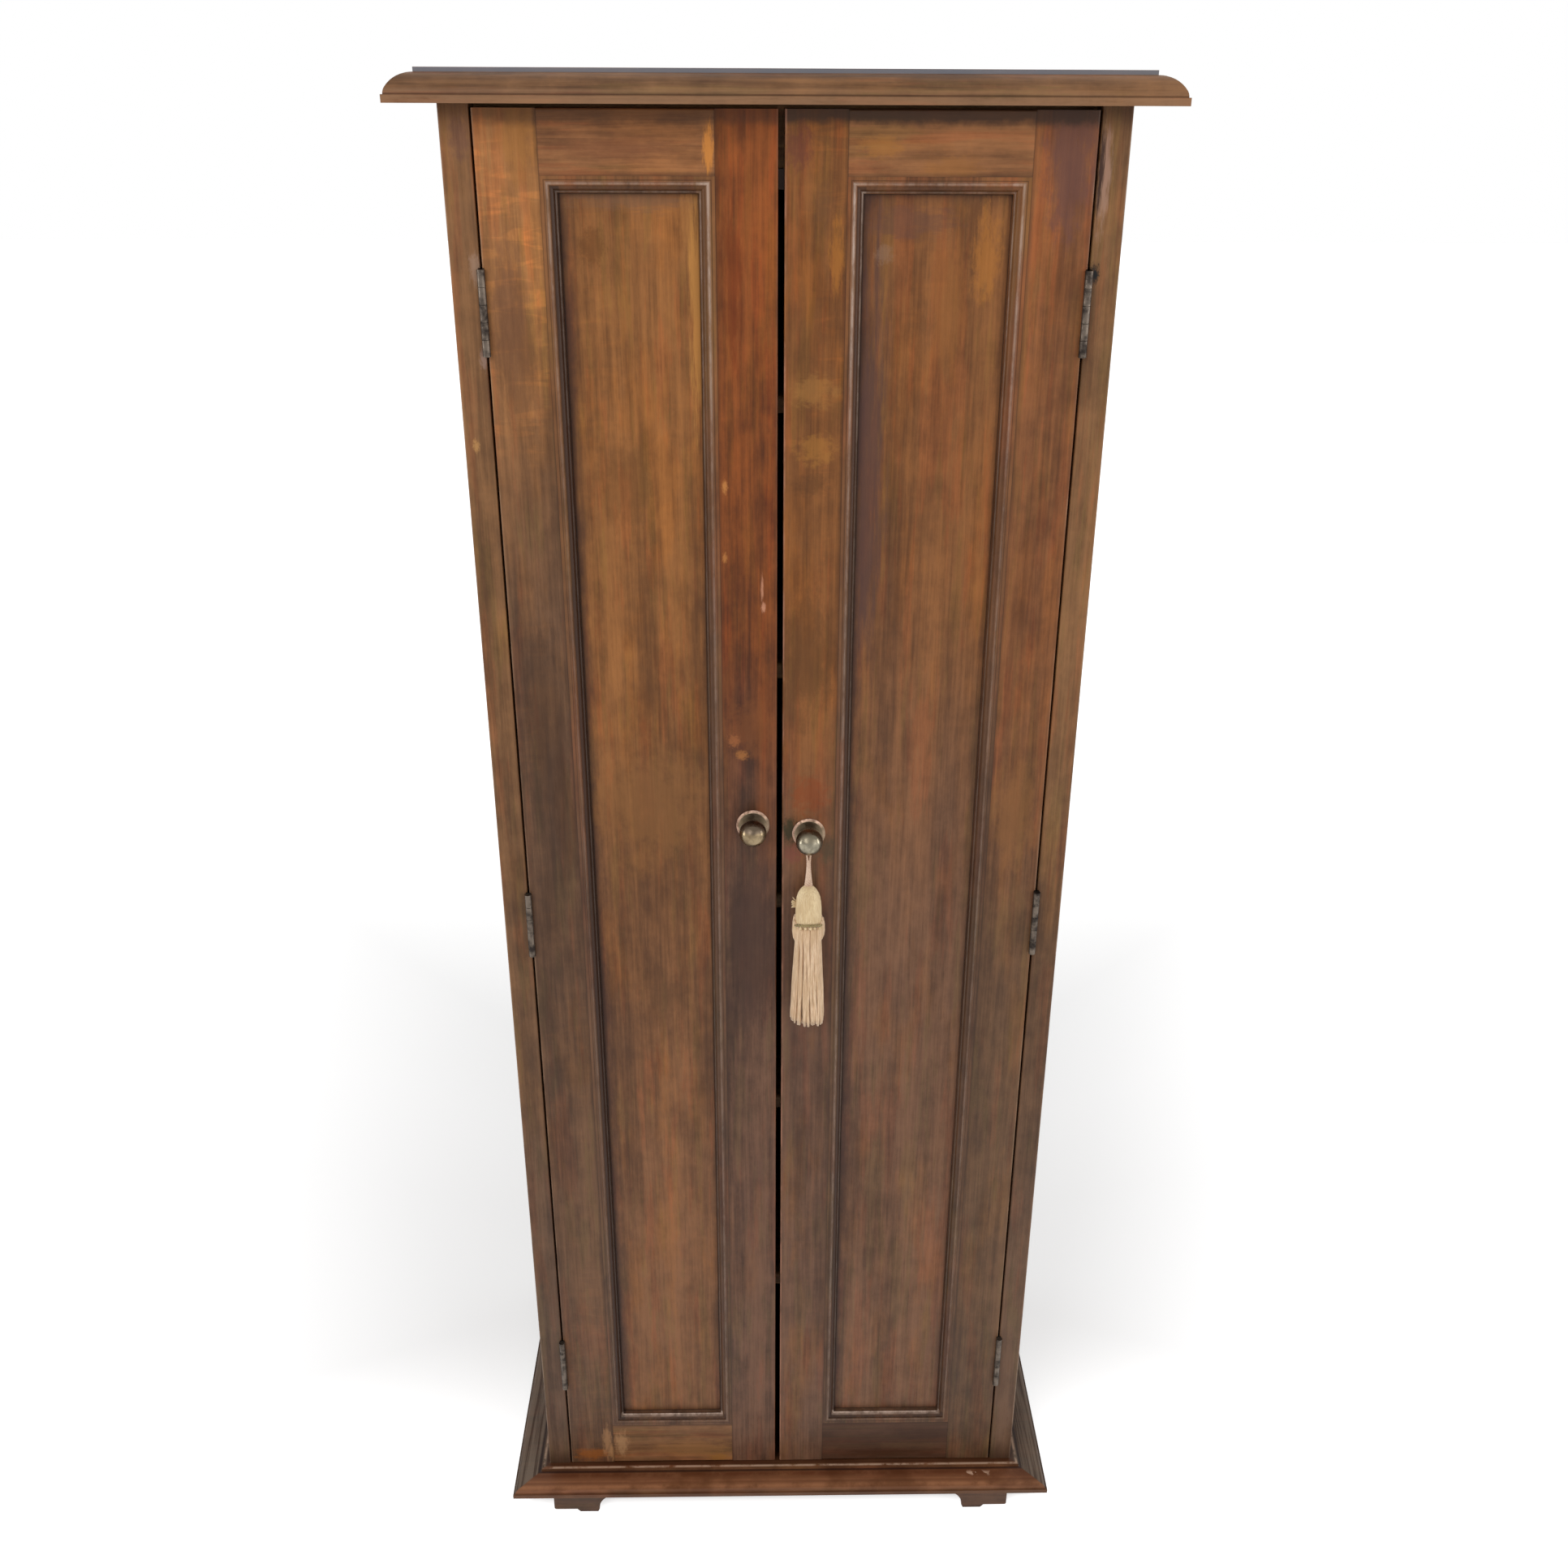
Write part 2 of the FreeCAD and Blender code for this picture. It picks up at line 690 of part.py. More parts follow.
def leaves(label, side, face, way, knuckles, first_knuckle):
    """One half of each hinge on a side: plates let into the wood, knuckles and their bore."""
    body = new_body(label)
    floor = f"{face} + {way} * leaf_thickness"
    axis = f"({side} * axis_half)"
    plate = rectangle(face, floor, "leaf_shoulder", "leaf_end")
    level = ("0", "0", "hinge_bottom")
    plates = pad(body, new_sketch(body, "XY_Plane", "Plate", [plate], offset=level), "hinge_length")
    repeat(body, [plates], [HINGE_ROW])
    level = ("0", "0", f"hinge_bottom + {first_knuckle} * knuckle_pitch")
    neck = rectangle(face, floor, "-hinge_axis_reach", "leaf_shoulder")
    sketch = new_sketch(body, "XY_Plane", "Neck", [neck], offset=level)
    necks = pad(body, sketch, "knuckle_length")
    barrel = [(axis, "-hinge_axis_reach", "knuckle_radius")]
    sketch = new_sketch(body, "XY_Plane", "Knuckle", circles=barrel, offset=level)
    barrels = pad(body, sketch, "knuckle_length")
    knuckle_row = ("Z_Axis", f"2 * knuckle_pitch * ({knuckles} - 1)", knuckles)
    repeat(body, [necks, barrels], [knuckle_row, HINGE_ROW])
    bore = [(axis, "-hinge_axis_reach", "hinge_bore_radius")]
    pocket(body, new_sketch(body, "XY_Plane", "Bore", circles=bore), middle=True)


for side in (-1, 1):
    word = side_word(side)
    leaves(f"{word}_hinge_frame_leaves", side, f"({side} * inner_half)", side,
           "frame_knuckle_count", "0")
    leaves(f"{word}_hinge_door_leaves", side, f"({side} * (inner_half - door_side_gap))", -side,
           "(frame_knuckle_count - 1)", "1")

body = new_body("hinge_pins")
pin = [("axis_half", "-hinge_axis_reach", "hinge_pin_radius")]
sketch = new_sketch(body, "XY_Plane", "Pin", circles=pin, offset=("0", "0", "hinge_bottom"))
repeat(body, [pad(body, sketch, "hinge_length")], [HINGE_ROW], mirror="YZ_Plane")

# Knobs, each on its plate


def turned_piece(label, at, outline):
    """A piece turned round the Y axis through at, from an outline of (y, radius)."""
    body = new_body(label, at=at)
    sketch = new_sketch(body, "YZ_Plane", "Half", [outline])
    turned(body, sketch, "H_Axis")


def knob(side):
    word = side_word(side)
    at = (f"{word}_knob_x", "front_plane", f"deck + {word}_knob_height")
    foot_y = "-knob_plate_thickness"
    turned_piece(f"{word}_knob_backplate", at, [
        ("0", "0"),
        ("0", "knob_plate_radius"),
        ("-knob_plate_edge", "knob_plate_radius"),
        (foot_y, "knob_plate_radius - knob_plate_slope"),
        (foot_y, "0"),
    ])
    outline = [
        (foot_y, "0"),
        (foot_y, "knob_foot_radius"),
        (f"{foot_y} - knob_foot_height", "knob_neck_radius"),
        ("sqrt(knob_ball_radius^2 - knob_neck_radius^2) - knob_reach", "knob_neck_radius"),
    ]
    # The ball is turned in straight cuts, at these degrees from the neck to a small front flat
    ball_degrees = (38, 57, 76, 95, 114, 133, 152, 170)
    for turn in ball_degrees:
        outline.append((f"knob_ball_radius * cos({turn} deg) - knob_reach",
                        f"knob_ball_radius * sin({turn} deg)"))
    outline.append((outline[-1][0], "0"))
    turned_piece(f"{word}_knob", at, outline)


for side in (-1, 1):
    knob(side)

# Magnetic catch under the front rail, and a strike plate on each door


def rounded(x0, x1, y0, y1, radius):
    """A rectangle with rounded corners, from low to high."""
    return [
        (f"{x1} - {radius}", y0),
        (x1, f"{y0} + {radius}", radius, 1),
        (x1, f"{y1} - {radius}"),
        (f"{x1} - {radius}", y1, radius, 1),
        (f"{x0} + {radius}", y1),
        (x0, f"{y1} - {radius}", radius, 1),
        (x0, f"{y0} + {radius}"),
        (f"{x0} + {radius}", y0, radius, 1),
    ]


body = new_body("door_catch")
half = "catch_width / 2"
plan = rounded(f"-meeting_offset - {half}", f"-meeting_offset + {half}", "catch_front",
               "catch_front + catch_depth", "catch_corner")
sketch = new_sketch(body, "XY_Plane", "Plan", [plan], offset=("0", "0", "catch_foot"))
pad(body, sketch, "catch_height")
middle = "(catch_foot + catch_height / 2)"
slots = []
for side in (-1, 1):
    centre = f"(-meeting_offset + {side} * catch_width / 4)"
    slots.append(rectangle(f"{centre} - catch_pole_length / 2", f"{centre} + catch_pole_length / 2",
                           f"{middle} - catch_pole_height / 2", f"{middle} + catch_pole_height / 2"))
sketch = new_sketch(body, "XZ_Plane", "Slots", slots, offset=("0", "0", "-catch_front"))
pocket(body, sketch, "catch_pole_depth")

for side in (-1, 1):
    word = side_word(side)
    body = new_body(f"{word}_strike_plate")
    near = f"({side} * (meeting_gap / 2 + strike_inset) - meeting_offset)"
    far = f"({near} + {side} * strike_length)"
    low, high = ordered(-side, near, far)
    outline = rounded(low, high, f"{middle} - strike_height / 2", f"{middle} + strike_height / 2",
                      "catch_corner")
    offset = ("0", "0", "-door_thickness")
    pad(body, new_sketch(body, "XZ_Plane", "Outline", [outline], offset=offset),
        "strike_thickness", back=True)

# Tassel: a cord loop on the right knob's neck, head, collar and skirt


def tassel_point(x, drop, out):
    """A point below and before the right knob's centre line, out from the door's face."""
    return FreeCAD.Vector(size("right_knob_x") + x,
                          size("front_plane") - out,
                          size("deck + right_knob_height") - drop)


def hanging_point(x, along):
    """A point that far along the tassel's leaning axis, below the knob's neck."""
    angle = math.atan(size("tassel_lean"))
    return tassel_point(x, along * math.cos(angle),
                        size("cord_hook_out") + along * math.sin(angle))


def cord_points():
    """Up one leg, over the knob's neck in half an octagon, and down the other leg."""
    hook, out = size("cord_hook_radius"), size("cord_hook_out")
    sag = hook - size("knob_neck_radius + cord_radius + tassel_rest_gap")
    corner = hook * math.tan(math.pi / 8)
    right = [
        hanging_point(size("cord_foot_spread"), size("tassel_drop - tassel_rest_gap")),
        hanging_point(size("cord_throat"), size("cord_fork_drop")),
        hanging_point(size("cord_throat"), size("cord_throat_drop")),
        tassel_point(hook, sag + corner, out),
        tassel_point(hook, sag - corner, out),
        tassel_point(corner, sag - hook, out),
    ]
    mirror = 2 * size("right_knob_x")
    left = [FreeCAD.Vector(mirror - p.x, p.y, p.z) for p in reversed(right)]
    return right + left


def cord_path(points):
    """Straight runs joined by tangent arcs, each as large as its two runs allow."""
    run_share = 0.45
    edges = []
    start = points[0]
    for before, corner, after in zip(points, points[1:], points[2:]):
        back, ahead = before - corner, after - corner
        cut = run_share * min(back.Length, ahead.Length)
        enter = corner + back.normalize() * cut
        leave = corner + ahead.normalize() * cut
        half = back.getAngle(ahead) / 2
        radius = cut * math.tan(half)
        toward = (back + ahead).normalize()
        middle = corner + toward * (radius / math.sin(half) - radius)
        edges.append(Part.LineSegment(start, enter).toShape())
        edges.append(Part.Arc(enter, middle, leave).toShape())
        start = leave
    edges.append(Part.LineSegment(start, points[-1]).toShape())
    return Part.Wire(edges)


def add_shape(label, shape):
    feature = doc.addObject("Part::Feature", label.title().replace("_", ""))
    feature.Label = label
    feature.Shape = shape
    nodes.append(feature)


path = cord_path(cord_points())
first_edge = path.Edges[0]
section_circle = Part.Circle(first_edge.valueAt(first_edge.FirstParameter),
                             first_edge.tangentAt(first_edge.FirstParameter), size("cord_radius"))
cord = path.makePipeShell([Part.Wire(section_circle.toShape())], True, False)
print("cord length", round(path.Length, 2))
add_shape("tassel_cord", cord)

LEAN_AT = ("right_knob_x", "front_plane - cord_hook_out", "deck + right_knob_height")


def leaning_body(label):
    """A turned piece of the tassel, whose axis leans out from the knob's neck."""
    body = new_body(label, at=LEAN_AT)
    body.Placement.Rotation = FreeCAD.Rotation(FreeCAD.Vector(-1, 0, 0), 1)
    bind(body, "Placement.Rotation.Angle", "atan(tassel_lean)")
    return body


body = leaning_body("tassel_head")
head = [
    ("0", "-tassel_drop"),
    ("0", "-head_foot"),
    ("tassel_head_radius", "-head_foot"),
    ("tassel_head_radius", "-tassel_drop - tassel_crown_height"),
    ("tassel_crown_radius", "-tassel_drop - tassel_crown_shoulder"),
    ("tassel_crown_flat", "-tassel_drop"),
]
turned(body, new_sketch(body, "XZ_Plane", "Half", [head]), "V_Axis")

body = leaning_body("tassel_collar")
collar = [
    ("0", "-head_foot"),
    ("0", "-head_foot - tassel_collar_length"),
    ("tassel_head_radius", "-head_foot - tassel_collar_length"),
    ("tassel_collar_shoulder_radius", "-collar_middle - tassel_collar_shoulder_length / 2"),
    ("tassel_collar_radius", "-collar_middle - tassel_collar_belly_length / 2"),
    ("tassel_collar_radius", "-collar_middle + tassel_collar_belly_length / 2"),
    ("tassel_collar_shoulder_radius", "-collar_middle + tassel_collar_shoulder_length / 2"),
    ("tassel_head_radius", "-head_foot"),
]
turned(body, new_sketch(body, "XZ_Plane", "Half", [collar]), "V_Axis")

# The skirt hangs upright, and its top slopes as the collar's underside does
body = new_body("tassel_skirt", at=(
    "right_knob_x",
    "front_plane - cord_hook_out - skirt_hang * sin(atan(tassel_lean))",
    "deck + right_knob_height - skirt_hang * cos(atan(tassel_lean))",
))
skirt = [
    ("0", "0"),
    ("0", "-tassel_skirt_length"),
    ("tassel_skirt_end_radius", "-tassel_skirt_length"),
    ("tassel_skirt_top_radius", "-tassel_lean * tassel_skirt_top_radius"),
]
turned(body, new_sketch(body, "XZ_Plane", "Half", [skirt]), "V_Axis")

# Check every object, then write each piece

doc.recompute()
for thing in doc.Objects:
    if "Invalid" in thing.State or "Error" in thing.State:
        raise ValueError(f"{thing.Name} {thing.State}")
for node in nodes:
    if node.Shape.isNull() or not node.Shape.isValid() or not node.Shape.Solids:
        raise ValueError(f"{node.Label} has no valid shape")

os.makedirs("parts", exist_ok=True)
for node in nodes:
    node.Shape.exportStep(f"parts/{node.Label}.step")
print(len(nodes), "nodes")
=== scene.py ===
import math
import random

import bmesh
import bpy
from mathutils import Matrix, Quaternion, Vector


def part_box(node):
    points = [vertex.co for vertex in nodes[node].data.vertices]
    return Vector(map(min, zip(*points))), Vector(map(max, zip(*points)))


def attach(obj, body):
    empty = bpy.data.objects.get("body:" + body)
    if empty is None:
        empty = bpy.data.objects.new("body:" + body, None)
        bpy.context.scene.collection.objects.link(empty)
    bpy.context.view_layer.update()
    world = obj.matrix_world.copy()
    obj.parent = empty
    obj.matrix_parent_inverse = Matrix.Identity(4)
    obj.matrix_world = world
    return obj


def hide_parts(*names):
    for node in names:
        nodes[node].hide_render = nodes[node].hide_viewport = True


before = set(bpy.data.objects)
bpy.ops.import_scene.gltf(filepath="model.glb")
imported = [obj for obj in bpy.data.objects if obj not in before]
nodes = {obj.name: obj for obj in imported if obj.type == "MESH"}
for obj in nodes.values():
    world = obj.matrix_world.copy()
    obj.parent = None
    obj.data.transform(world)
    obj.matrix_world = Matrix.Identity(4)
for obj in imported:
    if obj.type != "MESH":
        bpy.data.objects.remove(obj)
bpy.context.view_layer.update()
random.seed(11)
draw = random.uniform
scene = bpy.context.scene
MM = 0.001
ROUND = 2 * math.pi
SIDES = ("left", "right")


def placed(name, data):
    """A new object in the scene."""
    thing = bpy.data.objects.new(name, data)
    scene.collection.objects.link(thing)
    return thing


# Camera, at the photograph's viewpoint

camera_data = bpy.data.cameras.new("camera")
camera_data.lens = 35.106
camera_data.sensor_width = 36
camera_data.clip_start = 0.05
camera_data.clip_end = 30
camera = placed("camera", camera_data)
scene.camera = camera

yaw, pitch, roll = math.radians(1.08), math.radians(24.99), math.radians(0.27)
forward = Vector((math.sin(yaw) * math.cos(pitch), math.cos(yaw) * math.cos(pitch),
                  -math.sin(pitch)))
level = Vector((math.cos(yaw), -math.sin(yaw), 0))
upward = level.cross(forward)
across = level * math.cos(roll) + upward * math.sin(roll)
above = -level * math.sin(roll) + upward * math.cos(roll)
turn = Matrix((across, above, -forward)).transposed().to_4x4()
camera.matrix_world = Matrix.Translation(Vector((-20, -1201, 1263.5)) * MM) @ turn


# Colours and node trees


def tone(red, green, blue):
    """A colour written as it looks on a screen, from 0 to 255, as linear values."""
    return tuple(
        v / 12.92 if v <= 0.04045 else ((v + 0.055) / 1.055) ** 2.4
        for v in (red / 255, green / 255, blue / 255)
    ) + (1.0,)


class Look:
    """A material and short names for the nodes that it is made of."""

    def __init__(self, name):
        self.material = bpy.data.materials.new(name)
        self.material.use_nodes = True
        self.tree = self.material.node_tree
        self.tree.nodes.clear()
        self.output = self.add("ShaderNodeOutputMaterial")
        self.shader = self.add("ShaderNodeBsdfPrincipled")
        self.tree.links.new(self.shader.outputs[0], self.output.inputs["Surface"])
        self.place = self.add("ShaderNodeTexCoord").outputs["Object"]
        self.x, self.y, self.z = self.add("ShaderNodeSeparateXYZ", {0: self.place}).outputs

    def add(self, kind, inputs=None):
        """A new node, and what its inputs get."""
        node = self.tree.nodes.new(kind)
        for name, value in (inputs or {}).items():
            self.put(node.inputs[name], value)
        return node

    def put(self, socket, value):
        """Joins a socket to another one, or sets its value."""
        if isinstance(value, bpy.types.NodeSocket):
            self.tree.links.new(value, socket)
        else:
            socket.default_value = value

    def give(self, name, value):
        """Sets one input of the material's shader."""
        self.put(self.shader.inputs[name], value)

    def math(self, operation, *values):
        node = self.add("ShaderNodeMath")
        node.operation = operation
        for socket, value in zip(node.inputs, values):
            self.put(socket, value)
        return node.outputs[0]

    def times(self, first, second):
        return self.math("MULTIPLY", first, second)

    def plus(self, first, second):
        return self.math("ADD", first, second)

    def less(self, first, second):
        return self.math("SUBTRACT", first, second)

    def line(self, value, slope, start):
        """value times slope, plus start."""
        return self.math("MULTIPLY_ADD", value, slope, start)

    def smooth(self, value, low, high):
        """0 at low and 1 at high, eased between them. low may be above high."""
        node = self.add("ShaderNodeMapRange", {"Value": value, "From Min": low, "From Max": high})
        node.interpolation_type = "SMOOTHSTEP"
        return node.outputs["Result"]

    def cloud(self, scale, shift=(0, 0, 0), detail=4.0, roughness=0.55, distortion=0.0):
        """Noise on object coordinates, each axis scaled by itself."""
        vector = self.add("ShaderNodeMapping", {
            "Vector": self.place, "Scale": scale, "Location": shift}).outputs[0]
        return self.add("ShaderNodeTexNoise", {
            "Vector": vector, "Scale": 1.0, "Detail": detail, "Roughness": roughness,
            "Distortion": distortion}).outputs["Fac"]

    def mix(self, share, first, second, blend="MIX"):
        node = self.add("ShaderNodeMix")
        node.data_type = "RGBA"
        node.blend_type = blend
        self.put(node.inputs[0], share)
        self.put(node.inputs[6], first)
        self.put(node.inputs[7], second)
        return node.outputs[2]

    def lay(self, colour, tint, where, strength):
        """colour with tint over it, as far as where times strength."""
        return self.mix(self.times(where, strength), colour, tint)

    def bump(self, height, strength, distance):
        return self.add("ShaderNodeBump", {"Strength": strength, "Distance": distance,
                                           "Height": height}).outputs[0]

    def near(self, value, place, width):
        """1 where value is at place, easing to 0 at width from it."""
        return self.smooth(self.math("ABSOLUTE", self.less(value, place)), width, 0)


# For each direction of the grain, 1 on the axes that go across it
GRAIN = {"X": (0, 1, 1), "Z": (1, 1, 0)}
POLISH = 0.014
DARKEST = 0.002


def stain(red, green, blue):
    """A tone of polished wood as it shows, less the light that the polish adds."""
    return tuple(max(v - POLISH, DARKEST) for v in tone(red, green, blue)[:3]) + (1.0,)


def squeezed(along, wide, long):
    """Scales for noise that comes out wide across and long along the grain, in metres."""
    return [1 / wide if crosswise else 1 / long for crosswise in GRAIN[along]]


def ring(look, sides):
    """How far inside a rectangle a place lies. sides are (socket, low, high), None being open."""
    found = None
    for value, low, high in sides:
        for edge, sign in ((low, 1), (high, -1)):
            if edge is None:
                continue
            away = look.line(value, sign, -sign * edge)
            found = away if found is None else look.math("MINIMUM", found, away)
    return found


def wood(name, along, upper, lower, seed, fade=(1.15, 0.65), curl=0.12, warm=0.4, dusk=0.28,
         contrast=1.0, polish=0.4, marks=None):
    """Old polished hardwood. Its tone goes from upper to lower down the cabinet, between the two
    heights in fade. Over that come broad bands, streaks along the grain, mottle, clouds (warm,
    dusky, reddish and greenish), curl and pores. contrast, curl, warm and dusk say how much of
    these shows. marks(look, colour) lays the grime, wear and painted shade of one piece over it."""
    look = Look(name)

    def figure(wide, long, shift, **how):
        start = seed + shift
        return look.cloud(squeezed(along, wide, long),
                          (start * 3.17, start * 1.91, start * 2.53), **how)

    broad = figure(0.03, 0.4, 0, detail=3)
    streak = figure(0.0052, 0.16, 1, detail=5, roughness=0.62, distortion=0.3)
    fine = figure(0.002, 0.05, 2, detail=3, roughness=0.6)
    mottle = figure(0.015, 0.024, 3, detail=4, roughness=0.62)

    height = look.line(broad, 0.3, look.plus(look.z, -0.15))
    colour = look.mix(look.smooth(height, *fade), stain(*upper), stain(*lower))

    share = 0.5
    for part, weight in ((broad, 1.4), (streak, 1.05), (fine, 0.7), (mottle, 0.95)):
        share = look.plus(look.line(part, weight, -weight / 2), share)
    reach = 0.5 * contrast
    shade = look.mix(look.smooth(share, -0.1, 1.1),
                     (1 - reach, 1 - 1.04 * reach, 1 - 1.04 * reach, 1),
                     (1 + reach, 1 + 1.02 * reach, 1 + reach, 1))
    colour = look.mix(1.0, colour, shade, "MULTIPLY")

    for low, high, tint, weight, wide, shift in (
            (0.5, 0.66, (1.32, 1.16, 0.8, 1), warm, 0.03, 4),
            (0.5, 0.34, (0.66, 0.66, 0.74, 1), dusk, 0.03, 5),
            (0.52, 0.62, (1.16, 0.96, 0.92, 1), 0.7, 0.012, 9),
            (0.52, 0.62, (0.93, 1.04, 0.9, 1), 0.7, 0.012, 10)):
        cloud = figure(wide, 0.12, shift, detail=5, roughness=0.62)
        where = look.times(look.smooth(cloud, low, high), weight)
        colour = look.mix(where, colour, tint, "MULTIPLY")

    if curl:
        waves = look.cloud(squeezed(along, 0.04, 0.008), (seed,) * 3, detail=3, roughness=0.6,
                           distortion=0.7)
        where = look.smooth(figure(0.05, 0.2, 6), 0.42, 0.58)
        where = look.times(where, look.line(look.smooth(look.z, 0.85, 1.1), 0.7, 0.3))
        ripple = look.times(look.smooth(waves, 0.48, 0.66), where)
        colour = look.mix(look.times(ripple, curl), colour, (1.6, 1.46, 1.24, 1), "MULTIPLY")

    pore = look.smooth(figure(0.0006, 0.011, 7, detail=2), 0.6, 0.7)
    colour = look.mix(look.times(pore, 0.16), colour, (0.4, 0.36, 0.36, 1), "MULTIPLY")

    if marks:
        colour = marks(look, colour)
    look.give("Base Color", colour)

    rough = look.line(figure(0.02, 0.08, 8, detail=3), 0.3, polish - 0.1)
    look.give("Roughness", look.line(pore, 0.12, rough))
    look.give("Specular IOR Level", 0.2)
    height = look.line(pore, -0.4, look.line(streak, 0.5, look.times(fine, 0.35)))
    look.give("Normal", look.bump(height, 0.25, 0.0004))
    return look.material


def paint(name, material):
    """Gives a CAD node that material."""
    materials = nodes[name].data.materials
    materials.clear()
    materials.append(material)


def board(name, along, upper, lower, seed, **more):
    """Gives a CAD node a wood of its own."""
    paint(name, wood(f"wood_{name}", along, upper, lower, seed, **more))


# Tones, written as they look on the cabinet

DARK_BROWN = stain(66, 46, 35)
# Grime, with painted shade where parts meet and in hollows
GRIME_AND_SHADE = stain(58, 44, 38)
# Pale wear with a painted highlight over it, for the moulding beads
PALE_SHEEN_AND_WEAR = stain(202, 178, 162)
PALE_WEAR = stain(192, 160, 132)
SEAM = stain(30, 20, 16)
# Painted shadow that the top board casts on the door heads
UNDER_TOP = stain(64, 52, 46)

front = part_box("left_lock_stile")[0].y


def later(function):
    """Turns function(look, colour, ...) into one that takes the rest now, and those two later."""
    return lambda *given, **more: lambda look, colour: function(look, colour, *given, **more)


def apart(look, across, along):
    """The length of two differences taken together."""
    return look.math("SQRT", look.plus(look.times(across, across), look.times(along, along)))


def patch(look, colour, x, z, wide, tall, tint, strength, seed):
    """A worn or stained spot on the front, at x and z in mm, its edge broken in keeping with its
    size."""
    dx = look.math("DIVIDE", look.less(look.x, x * MM), wide * MM)
    dz = look.math("DIVIDE", look.less(look.z, z * MM), tall * MM)
    reach = apart(look, dx, dz)
    rag = look.cloud((2.6 / (wide * MM), 90, 2.6 / (tall * MM)), (seed, 2, 7), detail=7,
                     roughness=0.72)
    reach = look.plus(reach, look.line(rag, 2.2, -1.1))
    share = look.times(look.smooth(reach, 1.05, 0.3), strength)
    at_front = look.smooth(look.y, front + 14 * MM, front + 9 * MM)
    return look.lay(colour, stain(*tint), share, at_front)


def spotted(look, colour, spots):
    for spot in spots:
        colour = patch(look, colour, *spot)
    return colour


# Doors

OPENINGS = {side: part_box(f"{side}_panel_moulding") for side in SIDES}


def inside_opening(look, side):
    """How far inside the moulding's outer edge a place lies."""
    low, high = OPENINGS[side]
    return ring(look, [(look.x, low.x, high.x), (look.z, low.z, high.z)])


@later
def moulding_marks(look, colour, side, pale, dirt_and_shade):
    """The beads painted pale in places, a highlight over their wear, and the hollow darkened with
    grime and painted shade. pale and the table after it give how much of each shows on the left
    upright, the right upright, the bottom and the top."""
    low, high = OPENINGS[side]
    inside = inside_opening(look, side)
    rag = look.cloud((130, 130, 40), (4, 1, 3), detail=6, roughness=0.72)
    rubbed = look.line(look.smooth(rag, 0.4, 0.6), 0.6, 0.4)
    shares = []
    for left, right, bottom, top in (pale, dirt_and_shade):
        share = top
        for most, value, edge, way in ((bottom, look.z, low.z, 1), (left, look.x, low.x, 1),
                                       (right, look.x, high.x, -1)):
            there = look.smooth(look.times(value, way),
                                way * edge + 13 * MM, way * edge + 12 * MM)
            share = look.line(there, look.less(most, share), share)
        shares.append(share)
    # Grime with painted shade in the hollow
    shade_and_dirt = look.times(look.smooth(inside, 5.9 * MM, 6.8 * MM), shares[1])
    colour = look.mix(shade_and_dirt, colour, GRIME_AND_SHADE)
    # Pale lines on the beads: a painted highlight over wear, stronger higher up
    aloft = look.line(look.smooth(look.z, 0.95, 1.2), 0.7, 0.3)
    strength = look.times(look.times(shares[0], aloft), rubbed)
    for place, width, most in ((4.7, 1.8, 1.0), (10.1, 1.0, 0.7)):
        share = look.times(look.near(inside, place * MM, width * MM), strength)
        colour = look.lay(colour, PALE_SHEEN_AND_WEAR, share, most)
    # On the bottom piece: painted shade in the cove, and a painted highlight over wear on the inner
    # bead
    at_foot = look.smooth(look.z, low.z + 13 * MM, low.z + 12 * MM)
    for place, width, tint in ((7 * MM, 2.2 * MM, GRIME_AND_SHADE), (9.7 * MM, 1.5 * MM, PALE_SHEEN_AND_WEAR)):
        share = look.times(look.near(inside, place, width), at_foot)
        colour = look.lay(colour, tint, share, rubbed)
    for place, tint, strength in ((2.6, GRIME_AND_SHADE, 0.6), (0, SEAM, 0.35)):
        colour = look.lay(colour, tint, look.near(inside, place * MM, 0.6 * MM), strength)
    return colour


@later
def panel_marks(look, colour, side, spots=()):
    """Grime with the moulding's painted shadow along it, fading into the panel, most on the left
    and at the top.
    """
    low, high = OPENINGS[side]
    # The moulding's painted shadow, with grime, along each edge of the panel
    wander = look.line(look.cloud((80, 80, 26), (1, 5, 2), detail=5, roughness=0.65), -0.02, 0.01)
    for value, edge, way, reach, strength in (
            (look.x, low.x, 1, 24, 0.8), (look.x, high.x, -1, 16, 0.3),
            (look.z, high.z, -1, 23, 0.5), (look.z, low.z, 1, 20, 0.4)):
        away = look.line(value, way, -way * edge)
        shade_and_dirt = look.smooth(look.plus(away, wander), reach * MM, 9 * MM)
        colour = look.lay(colour, stain(66, 50, 46), shade_and_dirt, strength)
    colour = spotted(look, colour, spots)
    edge = look.near(inside_opening(look, side), 11 * MM, 1.3 * MM)
    return look.lay(colour, SEAM, edge, 0.75)


def under_top(look, colour, side):
    """Painted shadow of the top board along the head of a door, more on the right one."""
    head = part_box(f"{side}_lock_stile")[1].z
    rag = look.cloud((60, 60, 60), (6, 2, 8), detail=5, roughness=0.65)
    shade_and_dirt = look.smooth(look.line(rag, 0.012, look.z), head - 6 * MM, head + 1 * MM)
    return look.lay(colour, UNDER_TOP, shade_and_dirt, 0.85 if side == "right" else 0.5)


